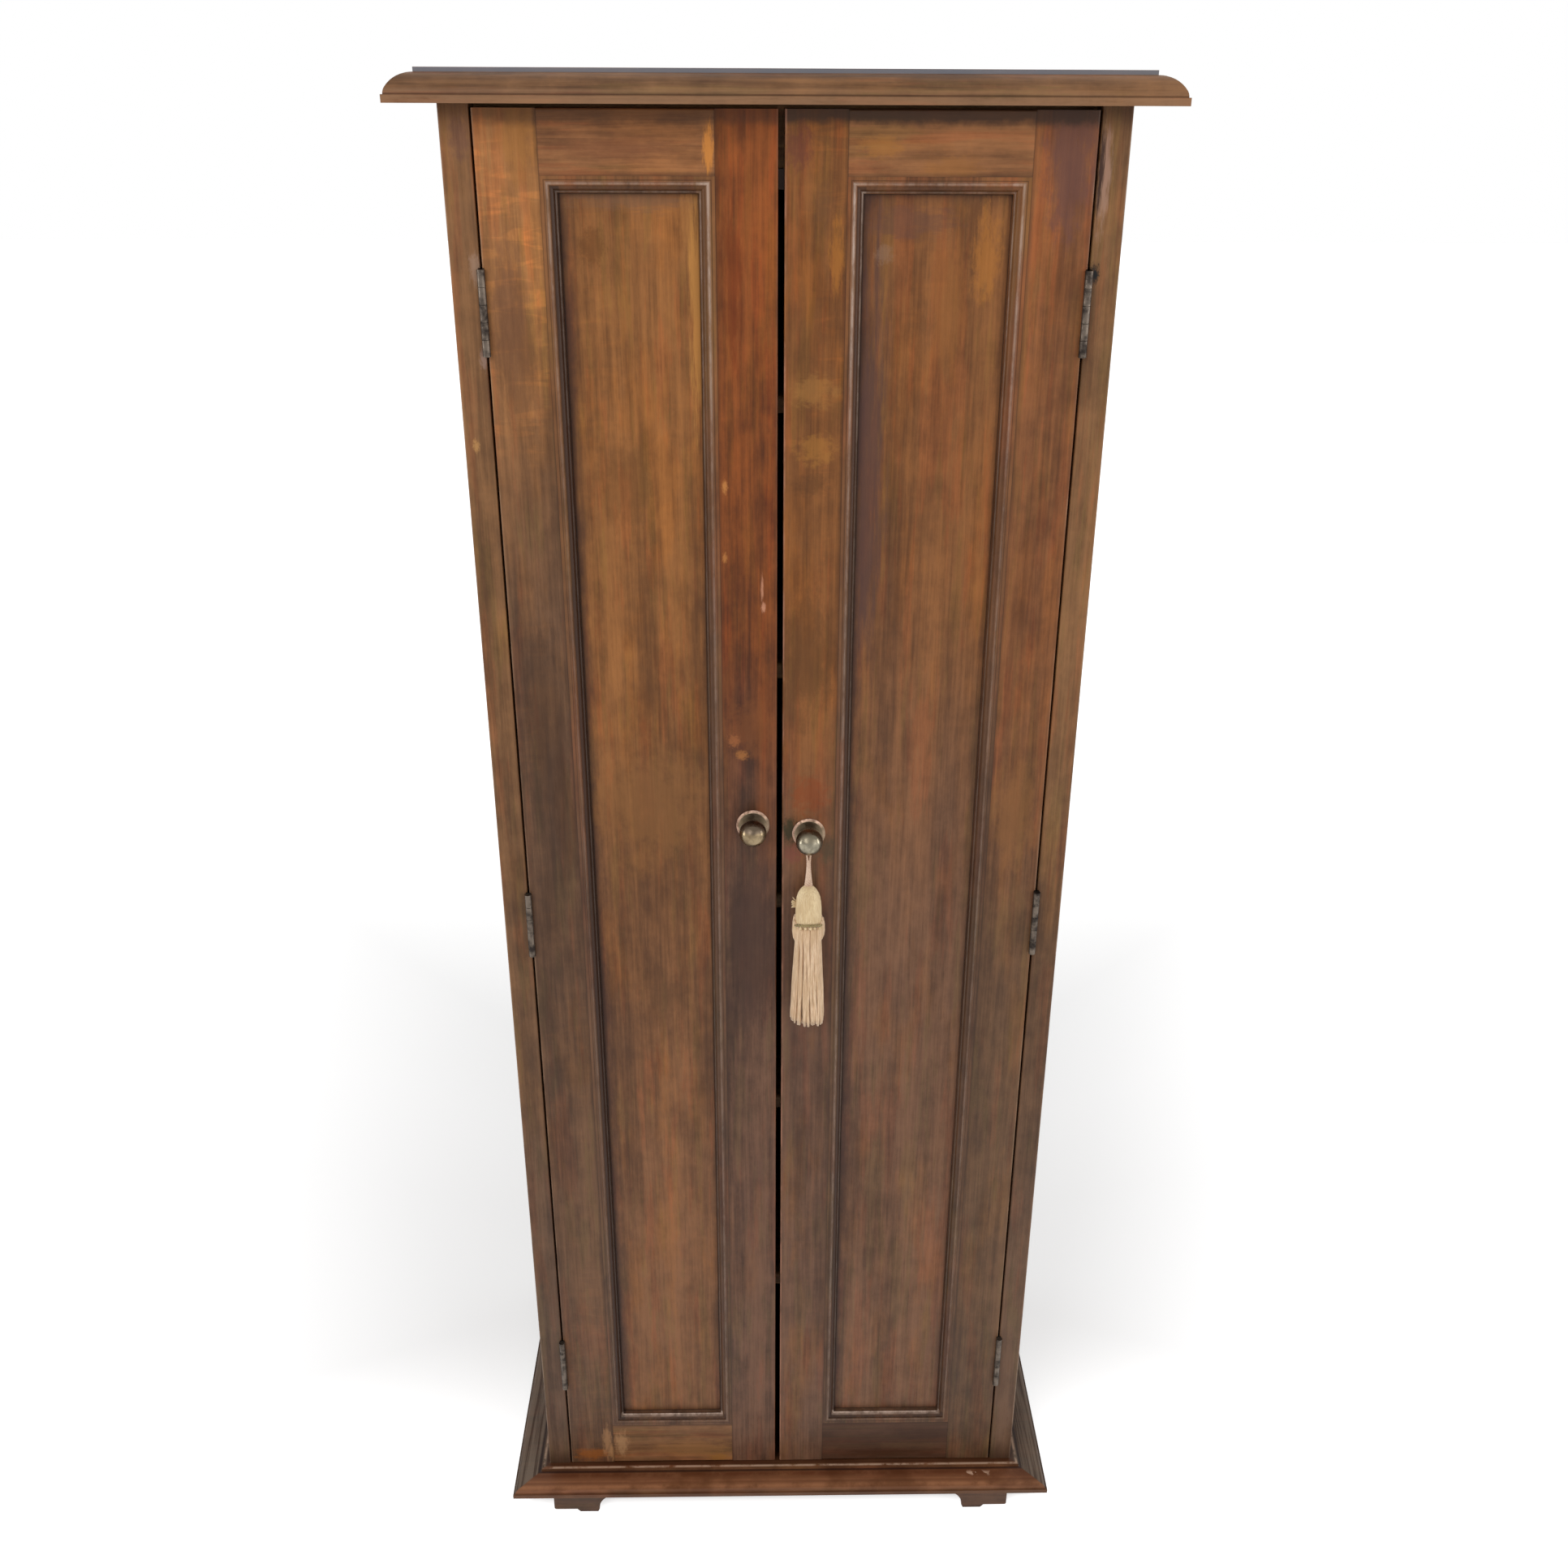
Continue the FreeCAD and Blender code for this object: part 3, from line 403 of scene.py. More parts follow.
@later
def stile_marks(look, colour, side, lock, spots=(), arris=PALE_WEAR, worn=0.5):
    """Painted shadow under the top board, a worn outer arris, and at the inner edge grime with
    painted shade and a dark joint.
    """
    word = "lock" if lock else "hinge"
    piece_low, piece_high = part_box(f"{side}_{word}_stile")
    outer_high = (side == "left") == lock
    outer = piece_high.x if outer_high else piece_low.x
    inner = piece_low.x if outer_high else piece_high.x
    colour = spotted(look, colour, spots)
    colour = under_top(look, colour, side)
    rag = look.cloud((120, 120, 22), (7, 1, 5), detail=6, roughness=0.7)
    rubbed = look.times(look.near(look.x, outer, 1.8 * MM), look.smooth(rag, 0.4, 0.62))
    at_arris = look.smooth(look.y, piece_low.y + 4.5 * MM, piece_low.y + 1.5 * MM)
    colour = look.lay(colour, arris, look.times(rubbed, at_arris), worn)
    # Grime with painted shade, then a dark joint, along the inner edge
    for width, tint, strength in ((3, GRIME_AND_SHADE, 0.35), (0.55, SEAM, 0.45)):
        colour = look.lay(colour, tint, look.near(look.x, inner, width * MM), strength)
    return colour


@later
def rail_marks(look, colour, side, top, spots=()):
    """Grime with painted shade beside the moulding, painted shadow under the top board on a top
    rail, and dark joints at the stiles.
    """
    low, high = OPENINGS[side]
    inner = high.z if top else low.z
    colour = spotted(look, colour, spots)
    if top:
        colour = under_top(look, colour, side)
    # Grime with painted shade beside the moulding
    colour = look.lay(colour, GRIME_AND_SHADE, look.near(look.z, inner, 3.5 * MM), 0.45)
    for place in (low.x, high.x):
        colour = look.lay(colour, SEAM, look.near(look.x, place, 0.8 * MM), 0.4)
    return colour


board("left_hinge_stile", "Z", (152, 106, 68), (103, 77, 60), 1, fade=(1.24, 0.86), curl=0.6,
    warm=0.4, marks=stile_marks("left", False, [
        (-188, 1120, 14, 60, (120, 84, 64), 0.6, 9), (-174, 1226, 15, 34, (172, 118, 66), 0.6, 10),
        (-184, 1085, 20, 60, (112, 78, 56), 0.5, 11), (-182, 800, 22, 120, (72, 54, 44), 0.5, 3),
        (-170, 730, 12, 90, (66, 46, 35), 0.4, 4), (-184, 42, 22, 10, (148, 88, 46), 0.7, 5),
        (-168, 58, 6, 26, (184, 138, 98), 0.5, 6),
        (-163, 44, 4, 14, (190, 140, 94), 0.55, 7)], worn=0.3))
board("left_lock_stile", "Z", (126, 74, 45), (98, 73, 60), 2, fade=(0.88, 0.62), warm=0.3, dusk=0.6,
    contrast=1.3, marks=stile_marks("left", True, [
        (-36, 1130, 9, 70, (106, 54, 34), 0.6, 8), (-43, 995, 2.6, 6, (196, 132, 76), 0.8, 1),
        (-43.5, 943, 2.2, 5, (196, 132, 76), 0.6, 2), (-38, 798, 6, 7, (176, 112, 72), 0.6, 3),
        (-32, 786, 6, 5, (196, 132, 76), 0.5, 4), (-16.4, 920, 1.3, 12, (204, 146, 116), 0.7, 5),
        (-15.4, 905, 2.0, 5, (204, 146, 116), 0.8, 6), (-26, 808, 24, 26, (130, 80, 50), 0.5, 9),
        (-24, 620, 26, 120, (76, 57, 50), 0.75, 7)], arris=stain(140, 92, 66)))
board("left_top_rail", "X", (145, 100, 68), (145, 100, 68), 3, warm=0.3,
    marks=rail_marks("left", True, [
        (-51, 1218, 4.5, 19, (206, 136, 70), 0.95, 1), (-110, 1218, 50, 9, (122, 78, 56), 0.5, 2)]))
board("left_bottom_rail", "X", (128, 92, 66), (128, 92, 66), 4, warm=0.4,
    marks=rail_marks("left", False, [
        (-86, 48, 50, 16, (146, 103, 66), 0.6, 2), (-60, 36, 16, 8, (156, 108, 56), 0.6, 3),
        (-154, 56, 8, 20, (184, 142, 102), 0.5, 1)]))
board("left_panel", "Z", (139, 94, 59), (121, 86, 63), 5, fade=(0.95, 0.35), curl=0.2, warm=0.45,
    dusk=0.2, marks=panel_marks("left", [
        (-104, 1186, 50, 11, (122, 92, 72), 0.5, 1), (-66, 1176, 7, 34, (178, 122, 72), 0.5, 3),
        (-61, 1120, 6, 100, (200, 142, 78), 0.7, 4), (-130, 1156, 11, 16, (104, 68, 42), 0.55, 5),
        (-114, 992, 26, 38, (108, 72, 44), 0.4, 6), (-104, 738, 56, 66, (146, 102, 64), 0.5, 7),
        (-95, 560, 22, 26, (92, 66, 48), 0.35, 2)]))
board("left_panel_moulding", "Z", (122, 84, 57), (100, 74, 58), 6, warm=0.2, polish=0.34,
    marks=moulding_marks("left", (0.45, 0.8, 0.5, 0.35), (0.9, 0.3, 0.3, 0.6)))

board("right_hinge_stile", "Z", (130, 86, 58), (104, 79, 61), 7, fade=(0.9, 0.5),
    marks=stile_marks("right", False, [
        (188, 1208, 24, 56, (110, 76, 68), 0.75, 1),
        (182, 737, 22, 66, (142, 98, 62), 0.5, 2)], worn=0.3))
board("right_lock_stile", "Z", (126, 83, 52), (106, 79, 64), 8, fade=(0.9, 0.6), curl=0.4, warm=0.6,
    marks=stile_marks("right", True, [
        (8, 1219, 12, 18, (104, 62, 54), 0.6, 3), (25, 1184, 8, 20, (102, 72, 54), 0.4, 9),
        (34, 1150, 6, 30, (176, 114, 56), 0.6, 6), (20, 1062, 20, 14, (168, 120, 68), 0.45, 1),
        (22, 1022, 17, 14, (176, 122, 64), 0.45, 8), (18, 996, 15, 9, (86, 60, 42), 0.45, 2),
        (18, 868, 26, 60, (94, 64, 42), 0.6, 13), (20, 752, 18, 20, (138, 72, 44), 0.6, 4),
        (5, 721, 9, 15, (60, 56, 40), 0.9, 10), (7, 700, 10, 10, (126, 74, 64), 0.6, 11),
        (34, 704, 10, 16, (84, 74, 58), 0.6, 12),
        (20, 600, 26, 90, (82, 62, 52), 0.5, 5)], arris=stain(190, 136, 112), worn=0.75))
board("right_top_rail", "X", (140, 97, 66), (140, 97, 66), 9, warm=0.4,
    marks=rail_marks("right", True, [
        (62, 1219, 18, 9, (174, 118, 62), 0.5, 1), (110, 1206, 26, 10, (158, 106, 58), 0.4, 2)]))
board("right_bottom_rail", "X", (82, 60, 49), (82, 60, 49), 10, warm=0.1, contrast=0.8,
    marks=rail_marks("right", False, [
        (105, 40, 70, 7, (64, 43, 34), 0.6, 1)]))
board("right_panel", "Z", (131, 88, 57), (114, 84, 66), 11, fade=(1.0, 0.6), curl=0.15, warm=0.4,
    marks=panel_marks("right", [
        (60, 1000, 15, 200, (88, 65, 60), 0.8, 1), (80, 1172, 42, 14, (100, 72, 64), 0.5, 3),
        (66, 1152, 8, 8, (150, 120, 100), 0.4, 5), (136, 1152, 14, 34, (186, 122, 62), 0.55, 2),
        (112, 1120, 16, 60, (154, 100, 58), 0.5, 6)]))
board("right_panel_moulding", "Z", (124, 84, 57), (102, 76, 59), 12, warm=0.2, polish=0.34,
    marks=moulding_marks("right", (1.0, 0.65, 0.5, 0.35), (0.8, 0.3, 0.3, 0.5)))

# Carcass


SIDE_SPOTS = {
    "left": (
        (-217, 1024, 3, 6, (200, 150, 94), 0.6, 1), (-208, 1142, 5, 14, (168, 140, 122), 0.5, 2),
        (-207, 1084, 3.5, 9, (160, 132, 120), 0.6, 3), (-212, 1224, 9, 18, (96, 66, 66), 0.4, 4)),
    "right": (
        (209.5, 1200, 5, 40, (176, 140, 122), 0.6, 6), (206.8, 1206, 2.6, 34, (50, 36, 32), 0.9, 5),
        (207.5, 1140, 5, 8, (30, 22, 18), 1.0, 7))}


@later
def side_marks(look, colour, side):
    """Rubbed front arris, and grime with painted shade at the top and the foot."""
    low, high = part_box(f"{side}_side_board")
    outer = low.x if side == "left" else high.x
    rag = look.cloud((100, 100, 18), (3, 9, 5), detail=6, roughness=0.7)
    rubbed = look.smooth(rag, 0.4, 0.62)
    at_front = look.near(look.y, low.y, 1.4 * MM)
    arris = look.times(look.near(look.x, outer, 1.6 * MM), at_front)
    colour = look.lay(colour, PALE_WEAR, look.times(arris, rubbed), 0.45)
    # Grime with painted shade at the top and the foot
    for place, reach in ((low.z, 26), (high.z, 16)):
        colour = look.lay(colour, GRIME_AND_SHADE, look.near(look.z, place, reach * MM), 0.55)
    return spotted(look, colour, SIDE_SPOTS[side])


def top_marks(look, colour):
    """A paler lip, grime over it, and a grey step under the flat top, painted as a reflection of
    the pale surroundings.
    """
    low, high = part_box("top_board")
    rag = look.cloud((26, 26, 180), (2, 4, 1), detail=6, roughness=0.7)
    lip = look.times(look.smooth(look.z, low.z + 5.2 * MM, low.z + 4 * MM),
                     look.smooth(rag, 0.25, 0.55))
    colour = look.lay(colour, stain(152, 116, 88), lip, 0.55)
    streak = look.near(look.z, low.z + 7.6 * MM, 1.8 * MM)
    colour = look.lay(colour, stain(150, 112, 82), streak, 0.3)
    nick = look.near(look.z, low.z + 5.3 * MM, 1 * MM)
    colour = look.lay(colour, DARK_BROWN, nick, 0.6)
    # The step's face painted bluish grey: a painted reflection of the pale surroundings
    step = look.smooth(look.z, high.z - 3 * MM, high.z - 2.5 * MM)
    side_on = look.smooth(look.z, high.z - 0.02 * MM, high.z - 0.3 * MM)
    return look.lay(colour, stain(124, 130, 140), look.times(step, side_on), 0.8)


def base_marks(look, colour):
    """Red-brown ovolo with a painted highlight over wear near its nose, rubbed fillet arris,
    painted shadow in the quirk and on the deck before the doors, and a grimy lip.
    """
    low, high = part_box("base_board")
    inside = ring(look, [(look.x, low.x, high.x), (look.y, low.y, None)])
    sideways = look.math("MINIMUM", look.less(look.x, low.x), look.less(high.x, look.x))
    past = look.less(sideways, look.less(look.y, low.y))
    at_front = look.smooth(past, -1 * MM, 1 * MM)
    rag = look.cloud((60, 60, 60), (8, 4, 1), detail=6, roughness=0.7)
    ovolo = look.times(look.smooth(inside, 1.5 * MM, 4 * MM), look.smooth(inside, 24 * MM, 19 * MM))
    colour = look.lay(colour, stain(124, 82, 60), look.times(ovolo, at_front), 0.6)
    # Streaks on the ovolo: the pale one near the nose is a painted highlight over wear, the others
    # lighter and darker tones
    for place, width, tint, strength in ((6, 4.5, stain(166, 116, 84), 0.8),
                                         (12, 2, stain(150, 102, 74), 0.5),
                                         (19, 5.5, stain(92, 57, 42), 0.8)):
        streak = look.times(look.near(inside, place * MM, width * MM), at_front)
        streak = look.times(streak, look.smooth(rag, 0.25, 0.6))
        colour = look.lay(colour, tint, streak, strength)
    blotch = look.smooth(look.cloud((22, 22, 22), (3, 3, 5), detail=5), 0.5, 0.66)
    colour = look.lay(colour, stain(86, 55, 40), blotch, 0.5)
    lines = look.cloud((420, 9, 420), (1, 6, 2), detail=4, roughness=0.6)
    olive = look.mix(look.smooth(lines, 0.36, 0.62), stain(62, 54, 48), stain(116, 104, 92))
    colour = look.lay(colour, olive, look.less(1.0, at_front), 0.8)
    # Painted shadow in the quirk under the fillet
    quirk = look.near(inside, 22.8 * MM, 2.4 * MM)
    colour = look.lay(colour, stain(44, 30, 24), quirk, 0.85)
    # Painted shade on the deck before the doors
    colour = look.lay(colour, stain(64, 42, 34), look.smooth(inside, 27 * MM, 29 * MM), 0.75)
    arris = look.times(look.smooth(look.z, high.z - 1 * MM, high.z - 0.2 * MM),
                       look.near(inside, 26.4 * MM, 1.9 * MM))
    colour = look.lay(colour, stain(182, 152, 130), arris, look.smooth(rag, 0.36, 0.54))
    colour = look.lay(colour, stain(74, 56, 46), look.smooth(inside, 2.2 * MM, 1 * MM), 0.35)
    chips = look.times(look.near(inside, 17 * MM, 4 * MM), look.near(look.x, 0.19, 26 * MM))
    speck = look.smooth(look.cloud((170, 170, 170), detail=3), 0.54, 0.6)
    return look.lay(colour, stain(196, 160, 136), chips, speck)


for index, side in enumerate(SIDES):
    board(f"{side}_side_board", "Z", (125, 91, 64), (97, 75, 61), 20 + index, fade=(0.9, 0.2),
        warm=0.3, marks=side_marks(side))
board("top_board", "X", (130, 96, 70), (130, 96, 70), 23, warm=0.3, marks=top_marks)
board("base_board", "X", (120, 84, 62), (120, 84, 62), 24, warm=0.2, marks=base_marks)
foot_wood = wood("wood_feet", "X", (92, 68, 54), (92, 68, 54), 25, warm=0.1)
for place in ("front_left", "front_right", "rear_left", "rear_right"):
    paint(f"{place}_foot", foot_wood)
inner_wood = wood("wood_inside", "X", (150, 112, 78), (140, 106, 76), 26, warm=0.3, contrast=0.8)
for name in nodes:
    if name.startswith("shelf_") or name in ("front_top_rail", "rear_top_rail"):
        paint(name, inner_wood)
board("back_panel", "Z", (142, 110, 80), (132, 102, 76), 27, warm=0.2, contrast=0.8)

# Metal and plastic


def metal(name, base, stained, scale, rough, seed, shine=1.0):
    """Old metal, stained in clouds, with a dull bloom where it is stained."""
    look = Look(name)
    cloud = look.cloud((scale,) * 3, (seed,) * 3, detail=6, roughness=0.65)
    share = look.smooth(cloud, 0.38, 0.66)
    look.give("Base Color", look.mix(share, base, stained))
    look.give("Metallic", shine)
    look.give("Roughness", look.line(share, 0.25, rough))
    grit = look.cloud((scale * 6,) * 3, (seed, 0, 0), detail=3)
    look.give("Normal", look.bump(grit, 0.12, 0.0002))
    return look


def plate_look(side):
    """A pale rubbed rim, tarnish near the neck where nothing rubs it, and the knob's shadow painted
    on it to the lower right.
    """
    look = metal(f"plate_brass_{side}", tone(168, 138, 120), tone(112, 88, 72), 160, 0.36, 3)
    low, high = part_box(f"{side}_knob_backplate")
    dx = look.less(look.x, (low.x + high.x) / 2)
    dz = look.less(look.z, (low.z + high.z) / 2)
    base = look.shader.inputs["Base Color"].links[0].from_socket
    tarnish = look.smooth(apart(look, dx, dz), 11.9 * MM, 10.8 * MM)
    # The knob's painted shadow on the plate, to the lower right
    knob_shadow = look.smooth(look.line(dz, -0.8, dx), 0, 8 * MM)
    tarnish = look.math("MAXIMUM", tarnish, look.times(knob_shadow, 0.75))
    look.give("Base Color", look.lay(base, tone(112, 100, 80), tarnish, 0.85))
    return look.material


hinge_metal = metal("hinge_bronze", tone(98, 87, 77), tone(38, 31, 27), 110, 0.34, 1,
                    shine=0.8).material
for name in nodes:
    if name == "hinge_pins" or name.endswith("_leaves"):
        paint(name, hinge_metal)
screw_metal = metal("screw_steel", tone(138, 128, 114), tone(78, 66, 56), 500, 0.38, 2).material
strike_metal = metal("strike_steel", tone(176, 174, 168), tone(120, 114, 104), 140, 0.3, 4).material
for side in SIDES:
    paint(f"{side}_knob_backplate", plate_look(side))
    paint(f"{side}_strike_plate", strike_metal)
catch_look = Look("catch_plastic")
catch_look.give("Base Color", catch_look.mix(
    catch_look.cloud((300,) * 3), tone(70, 46, 32), tone(88, 60, 42)))
catch_look.give("Roughness", 0.5)
catch_look.give("Normal", catch_look.bump(catch_look.cloud((2500,) * 3), 0.1, 0.0001))
paint("door_catch", catch_look.material)


# Mesh builders


def mm(*values):
    return [v * MM for v in values]


def finished(name, bm, body, material, stands_for=(), smooth=True):
    """A piece of the visual model from a bmesh: it rides on body, and may replace CAD nodes."""
    mesh = bpy.data.meshes.new(name)
    bmesh.ops.recalc_face_normals(bm, faces=bm.faces)
    for face in bm.faces:
        face.smooth = smooth
    bm.to_mesh(mesh)
    bm.free()
    piece = placed(name, mesh)
    mesh.materials.append(material)
    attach(piece, body)
    if stands_for:
        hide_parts(*stands_for)
    return piece


def skin(bm, rings):
    """Faces between rings of vertices, and over both ends."""
    count = len(rings[0])
    for first, second in zip(rings, rings[1:]):
        for i in range(count):
            j = (i + 1) % count
            bm.faces.new((first[i], first[j], second[j], second[i]))
    bm.faces.new(rings[0])
    bm.faces.new(rings[-1])


def directions(points):
    """The way that a path runs at each of its points."""
    last = len(points) - 1
    return [(points[min(i + 1, last)] - points[max(i - 1, 0)]).normalized()
            for i in range(len(points))]


def lathe(bm, profile, centre, axis, segments, ripple=None):
    """Turns (distance, radius) pairs round an axis. ripple(distance, angle) adds to the radius."""
    axis = Vector(axis).normalized()
    side = axis.orthogonal().normalized()
    other = axis.cross(side)
    rings = []
    for distance, radius in profile:
        loop = []
        for i in range(segments):
            angle = ROUND * i / segments
            reach = radius + (ripple(distance, angle) if ripple and radius > 0.001 else 0)
            offset = side * math.cos(angle) + other * math.sin(angle)
            loop.append(bm.verts.new(centre + axis * distance + offset * reach))
        rings.append(loop)
    skin(bm, rings)


def tube(bm, points, radii, sides=8, flat=1.0):
    """A closed tube along points, each ring turned as little as the path allows."""
    ahead = directions(points)
    side = ahead[0].orthogonal().normalized()
    rings = []
    for i, point in enumerate(points):
        if i:
            side = ahead[i - 1].rotation_difference(ahead[i]) @ side
            side = (side - ahead[i] * side.dot(ahead[i])).normalized()
        other = ahead[i].cross(side)
        loop = []
        for k in range(sides):
            angle = ROUND * k / sides
            offset = side * math.cos(angle) + other * math.sin(angle) * flat
            loop.append(bm.verts.new(point + offset * radii[i]))
        rings.append(loop)
    skin(bm, rings)


# Knobs, turned and rubbed smooth


# For each knob: its tone where it is rubbed, where it is dull, and on its upper half, where a dark
# reflection is painted, and a seed
KNOB_TONES = {"left": ((134, 118, 92), (112, 96, 74), (90, 78, 67), 5),
              "right": ((138, 131, 114), (112, 106, 92), (112, 104, 88), 8)}
KNOB_STEPS = 40


def knob_look(side):
    """Aged brass, paler where rubbed and duller where stained, with a dark reflection of a room
    painted over its upper half.
    """
    low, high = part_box(f"{side}_knob")
    pale, dull, dark, seed = KNOB_TONES[side]
    look = metal(f"knob_brass_{side}", tone(*pale), tone(*dull), 130, 0.2, seed)
    base = look.shader.inputs["Base Color"].links[0].from_socket
    middle = (low.z + high.z) / 2
    # A dark reflection of a room, painted over the upper half
    cloud = look.cloud((90,) * 3, (2, 2, 2), detail=4)
    upper = look.smooth(look.line(cloud, 0.005, look.z), middle + 5.6 * MM, middle + 7.6 * MM)
    look.give("Base Color", look.lay(base, tone(*dark), upper, 0.85))
    return look.material


for side in SIDES:
    low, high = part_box(f"{side}_knob")
    radius = (high.x - low.x) / 2 * 1.003
    centre = Vector(((low.x + high.x) / 2, high.y, (low.z + high.z) / 2))
    reach = high.y - low.y + 0.1 * MM - radius
    neck, foot = 3.6 * MM, 5 * MM
    profile = [(0, foot), (0.5 * MM, foot * 1.02), (0.9 * MM, foot * 0.94), (1.1 * MM, neck * 1.12),
               (1.4 * MM, neck * 1.01), (1.9 * MM, neck)]
    start = math.asin(neck / radius)
    for step in range(1, KNOB_STEPS):
        angle = start + (math.pi - start) * step / KNOB_STEPS
        profile.append((reach - radius * math.cos(angle), radius * math.sin(angle)))
    profile.append((reach + radius, 0.15 * MM))
    bm = bmesh.new()
    lathe(bm, profile, centre, (0, -1, 0), 64)
    finished(f"{side}_knob_turned", bm, f"{side}_door", knob_look(side),
             [f"{side}_knob"])

# Tassel on the right knob. The sizes are those of the CAD: HOOK is the cord's bend over the knob's
# neck, and AT is measured down the leaning axis from the neck's middle.

knob_low, knob_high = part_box("right_knob")
knob_x, knob_z = (knob_low.x + knob_high.x) / 2, (knob_low.z + knob_high.z) / 2
HOOK_OUT = 3.1 * MM
LEAN = math.atan(7.8 / 51.5)
HOOK_RADIUS = 5.8 * MM
CORD_DIAMETER = 1.7 * MM
HEAD_AT, HEAD_LENGTH, HEAD_RADIUS = 42.5 * MM, 33 * MM, 10.5 * MM
COLLAR_LENGTH, COLLAR_RADIUS = 14.5 * MM, 14 * MM
down = Vector((0, -math.sin(LEAN), -math.cos(LEAN)))
pivot = Vector((knob_x, front - HOOK_OUT, knob_z))


def hanging(x, along):
    """A place beside the tassel's leaning axis."""
    return pivot + down * along + Vector((x, 0, 0))


def thread(name, light, shade, seed, stretch=(900, 900, 120)):
    """Silky thread: fine lines along the hang, a soft sheen and a little grime."""
    look = Look(name)
    lines = look.cloud(stretch, (seed,) * 3, detail=4, roughness=0.6)
    cloud = look.cloud((70, 70, 40), (seed, 0, seed), detail=4)
    share = look.line(lines, 0.8, look.line(cloud, 0.7, -0.35))
    look.give("Base Color", look.mix(look.smooth(share, 0.25, 0.7), shade, light))
    look.give("Roughness", 0.62)
    look.give("Sheen Weight", 0.35)
    look.give("Sheen Roughness", 0.4)
    look.give("Normal", look.bump(lines, 0.5, 0.0003))
    return look.material


cord_thread = thread("tassel_cord_thread", tone(236, 208, 184), tone(196, 162, 136), 1,
                     (1500, 1500, 1500))
head_thread = thread("tassel_head_thread", tone(240, 218, 176), tone(210, 182, 138), 2)
skirt_thread = thread("tassel_skirt_thread", tone(244, 214, 180), tone(206, 172, 134), 3)
gold_thread = thread("tassel_gold_thread", tone(192, 170, 116), tone(124, 106, 64), 4,
                     (1500, 1500, 1500))

sag = HOOK_RADIUS - 4.85 * MM
corner = HOOK_RADIUS * math.tan(math.pi / 8)
leg = [hanging(2.6 * MM, HEAD_AT - 0.4 * MM), hanging(0.9 * MM, 30 * MM),
       hanging(0.9 * MM, 17 * MM)]
for x, drop in ((HOOK_RADIUS, sag + corner), (HOOK_RADIUS, sag - corner),
                (corner, sag - HOOK_RADIUS)):
    leg.append(Vector((knob_x + x, front - HOOK_OUT, knob_z - drop)))
route = leg + [Vector((2 * knob_x - p.x, p.y, p.z)) for p in reversed(leg)]

line_data = bpy.data.curves.new("cord_line", "CURVE")
line_data.dimensions = "3D"
line_data.resolution_u = 24
spline = line_data.splines.new("NURBS")
spline.points.add(len(route) - 1)
for knot, place in zip(spline.points, route):
    knot.co = (*place, 1)
spline.order_u = 3
spline.use_endpoint_u = True
line = placed("cord_line", line_data)
bpy.context.view_layer.update()
line_mesh = bpy.data.meshes.new_from_object(line)
path = [v.co.copy() for v in line_mesh.vertices]
bpy.data.objects.remove(line)

bm = bmesh.new()
STRANDS, STRAND_PITCH, STRAND_RADIUS = 3, 5.5 * MM, 0.46 * MM
ahead = directions(path)
for strand in range(STRANDS):
    points, run, side = [], 0.0, ahead[0].orthogonal().normalized()
    for i, place in enumerate(path):
        if i:
            run += (place - path[i - 1]).length
            side = ahead[i - 1].rotation_difference(ahead[i]) @ side
        angle = ROUND * (run / STRAND_PITCH + strand / STRANDS)
        other = ahead[i].cross(side)
        offset = side * math.cos(angle) + other * math.sin(angle)
        points.append(place + offset * (CORD_DIAMETER / 2 - STRAND_RADIUS))
    tube(bm, points, [STRAND_RADIUS] * len(points), sides=8)
cord = finished("tassel_loop_cord", bm, "tassel", cord_thread,
                ["tassel_cord"])

# The head: threads drawn together over a mould, with a slightly domed top
HEAD_SHARES = ((0, 0.2), (0.01, 0.34), (0.04, 0.48), (0.1, 0.64), (0.18, 0.79), (0.28, 0.9),
               (0.4, 0.96), (0.55, 0.99), (0.7, 1.0), (0.86, 1.0), (0.95, 0.97), (1.0, 0.9))
profile = [(along * HEAD_LENGTH, reach * (HEAD_RADIUS - 0.2 * MM)) for along, reach in HEAD_SHARES]


def ribs(distance, angle):
    """Threads round the head, and a slow unevenness."""
    return (0.2 * math.cos(40 * angle) + 0.2 * math.sin(3 * angle + distance * 90)) * MM


bm = bmesh.new()
lathe(bm, profile, hanging(0, HEAD_AT), down, 276, ribs)
# A tuft of cut thread on the head's left side
for k in range(14):
    start = hanging(-HEAD_RADIUS * 0.93, HEAD_AT + (14 + 1.2 * (k % 4)) * MM)
    start.y += (k - 4) * 0.25 * MM
    swing = Vector((-1, draw(-0.4, 0.3), draw(-0.2, 0.9))).normalized()
    curlback = Vector((0.3, 0, draw(-1, 0.6)))
    points = [start + swing * t * 4.2 * MM + curlback * (t * t) * 1.1 * MM
              for t in (0, 0.25, 0.5, 0.75, 1)]
    tube(bm, points, mm(0.5, 0.55, 0.5, 0.42, 0.25), sides=6)
# Wraps of thread where the cord goes in
for k in range(3):
    loop = []
    for i in range(25):
        angle = ROUND * i / 24
        loop.append(hanging(3.1 * MM * math.cos(angle), HEAD_AT + (0.3 + 0.8 * k) * MM)
                    + Vector((0, math.sin(angle) * 2.4 * MM, 0)))
    tube(bm, loop, [0.45 * MM] * 25, sides=6)
finished("tassel_head_threads", bm, "tassel", head_thread, ["tassel_head"])

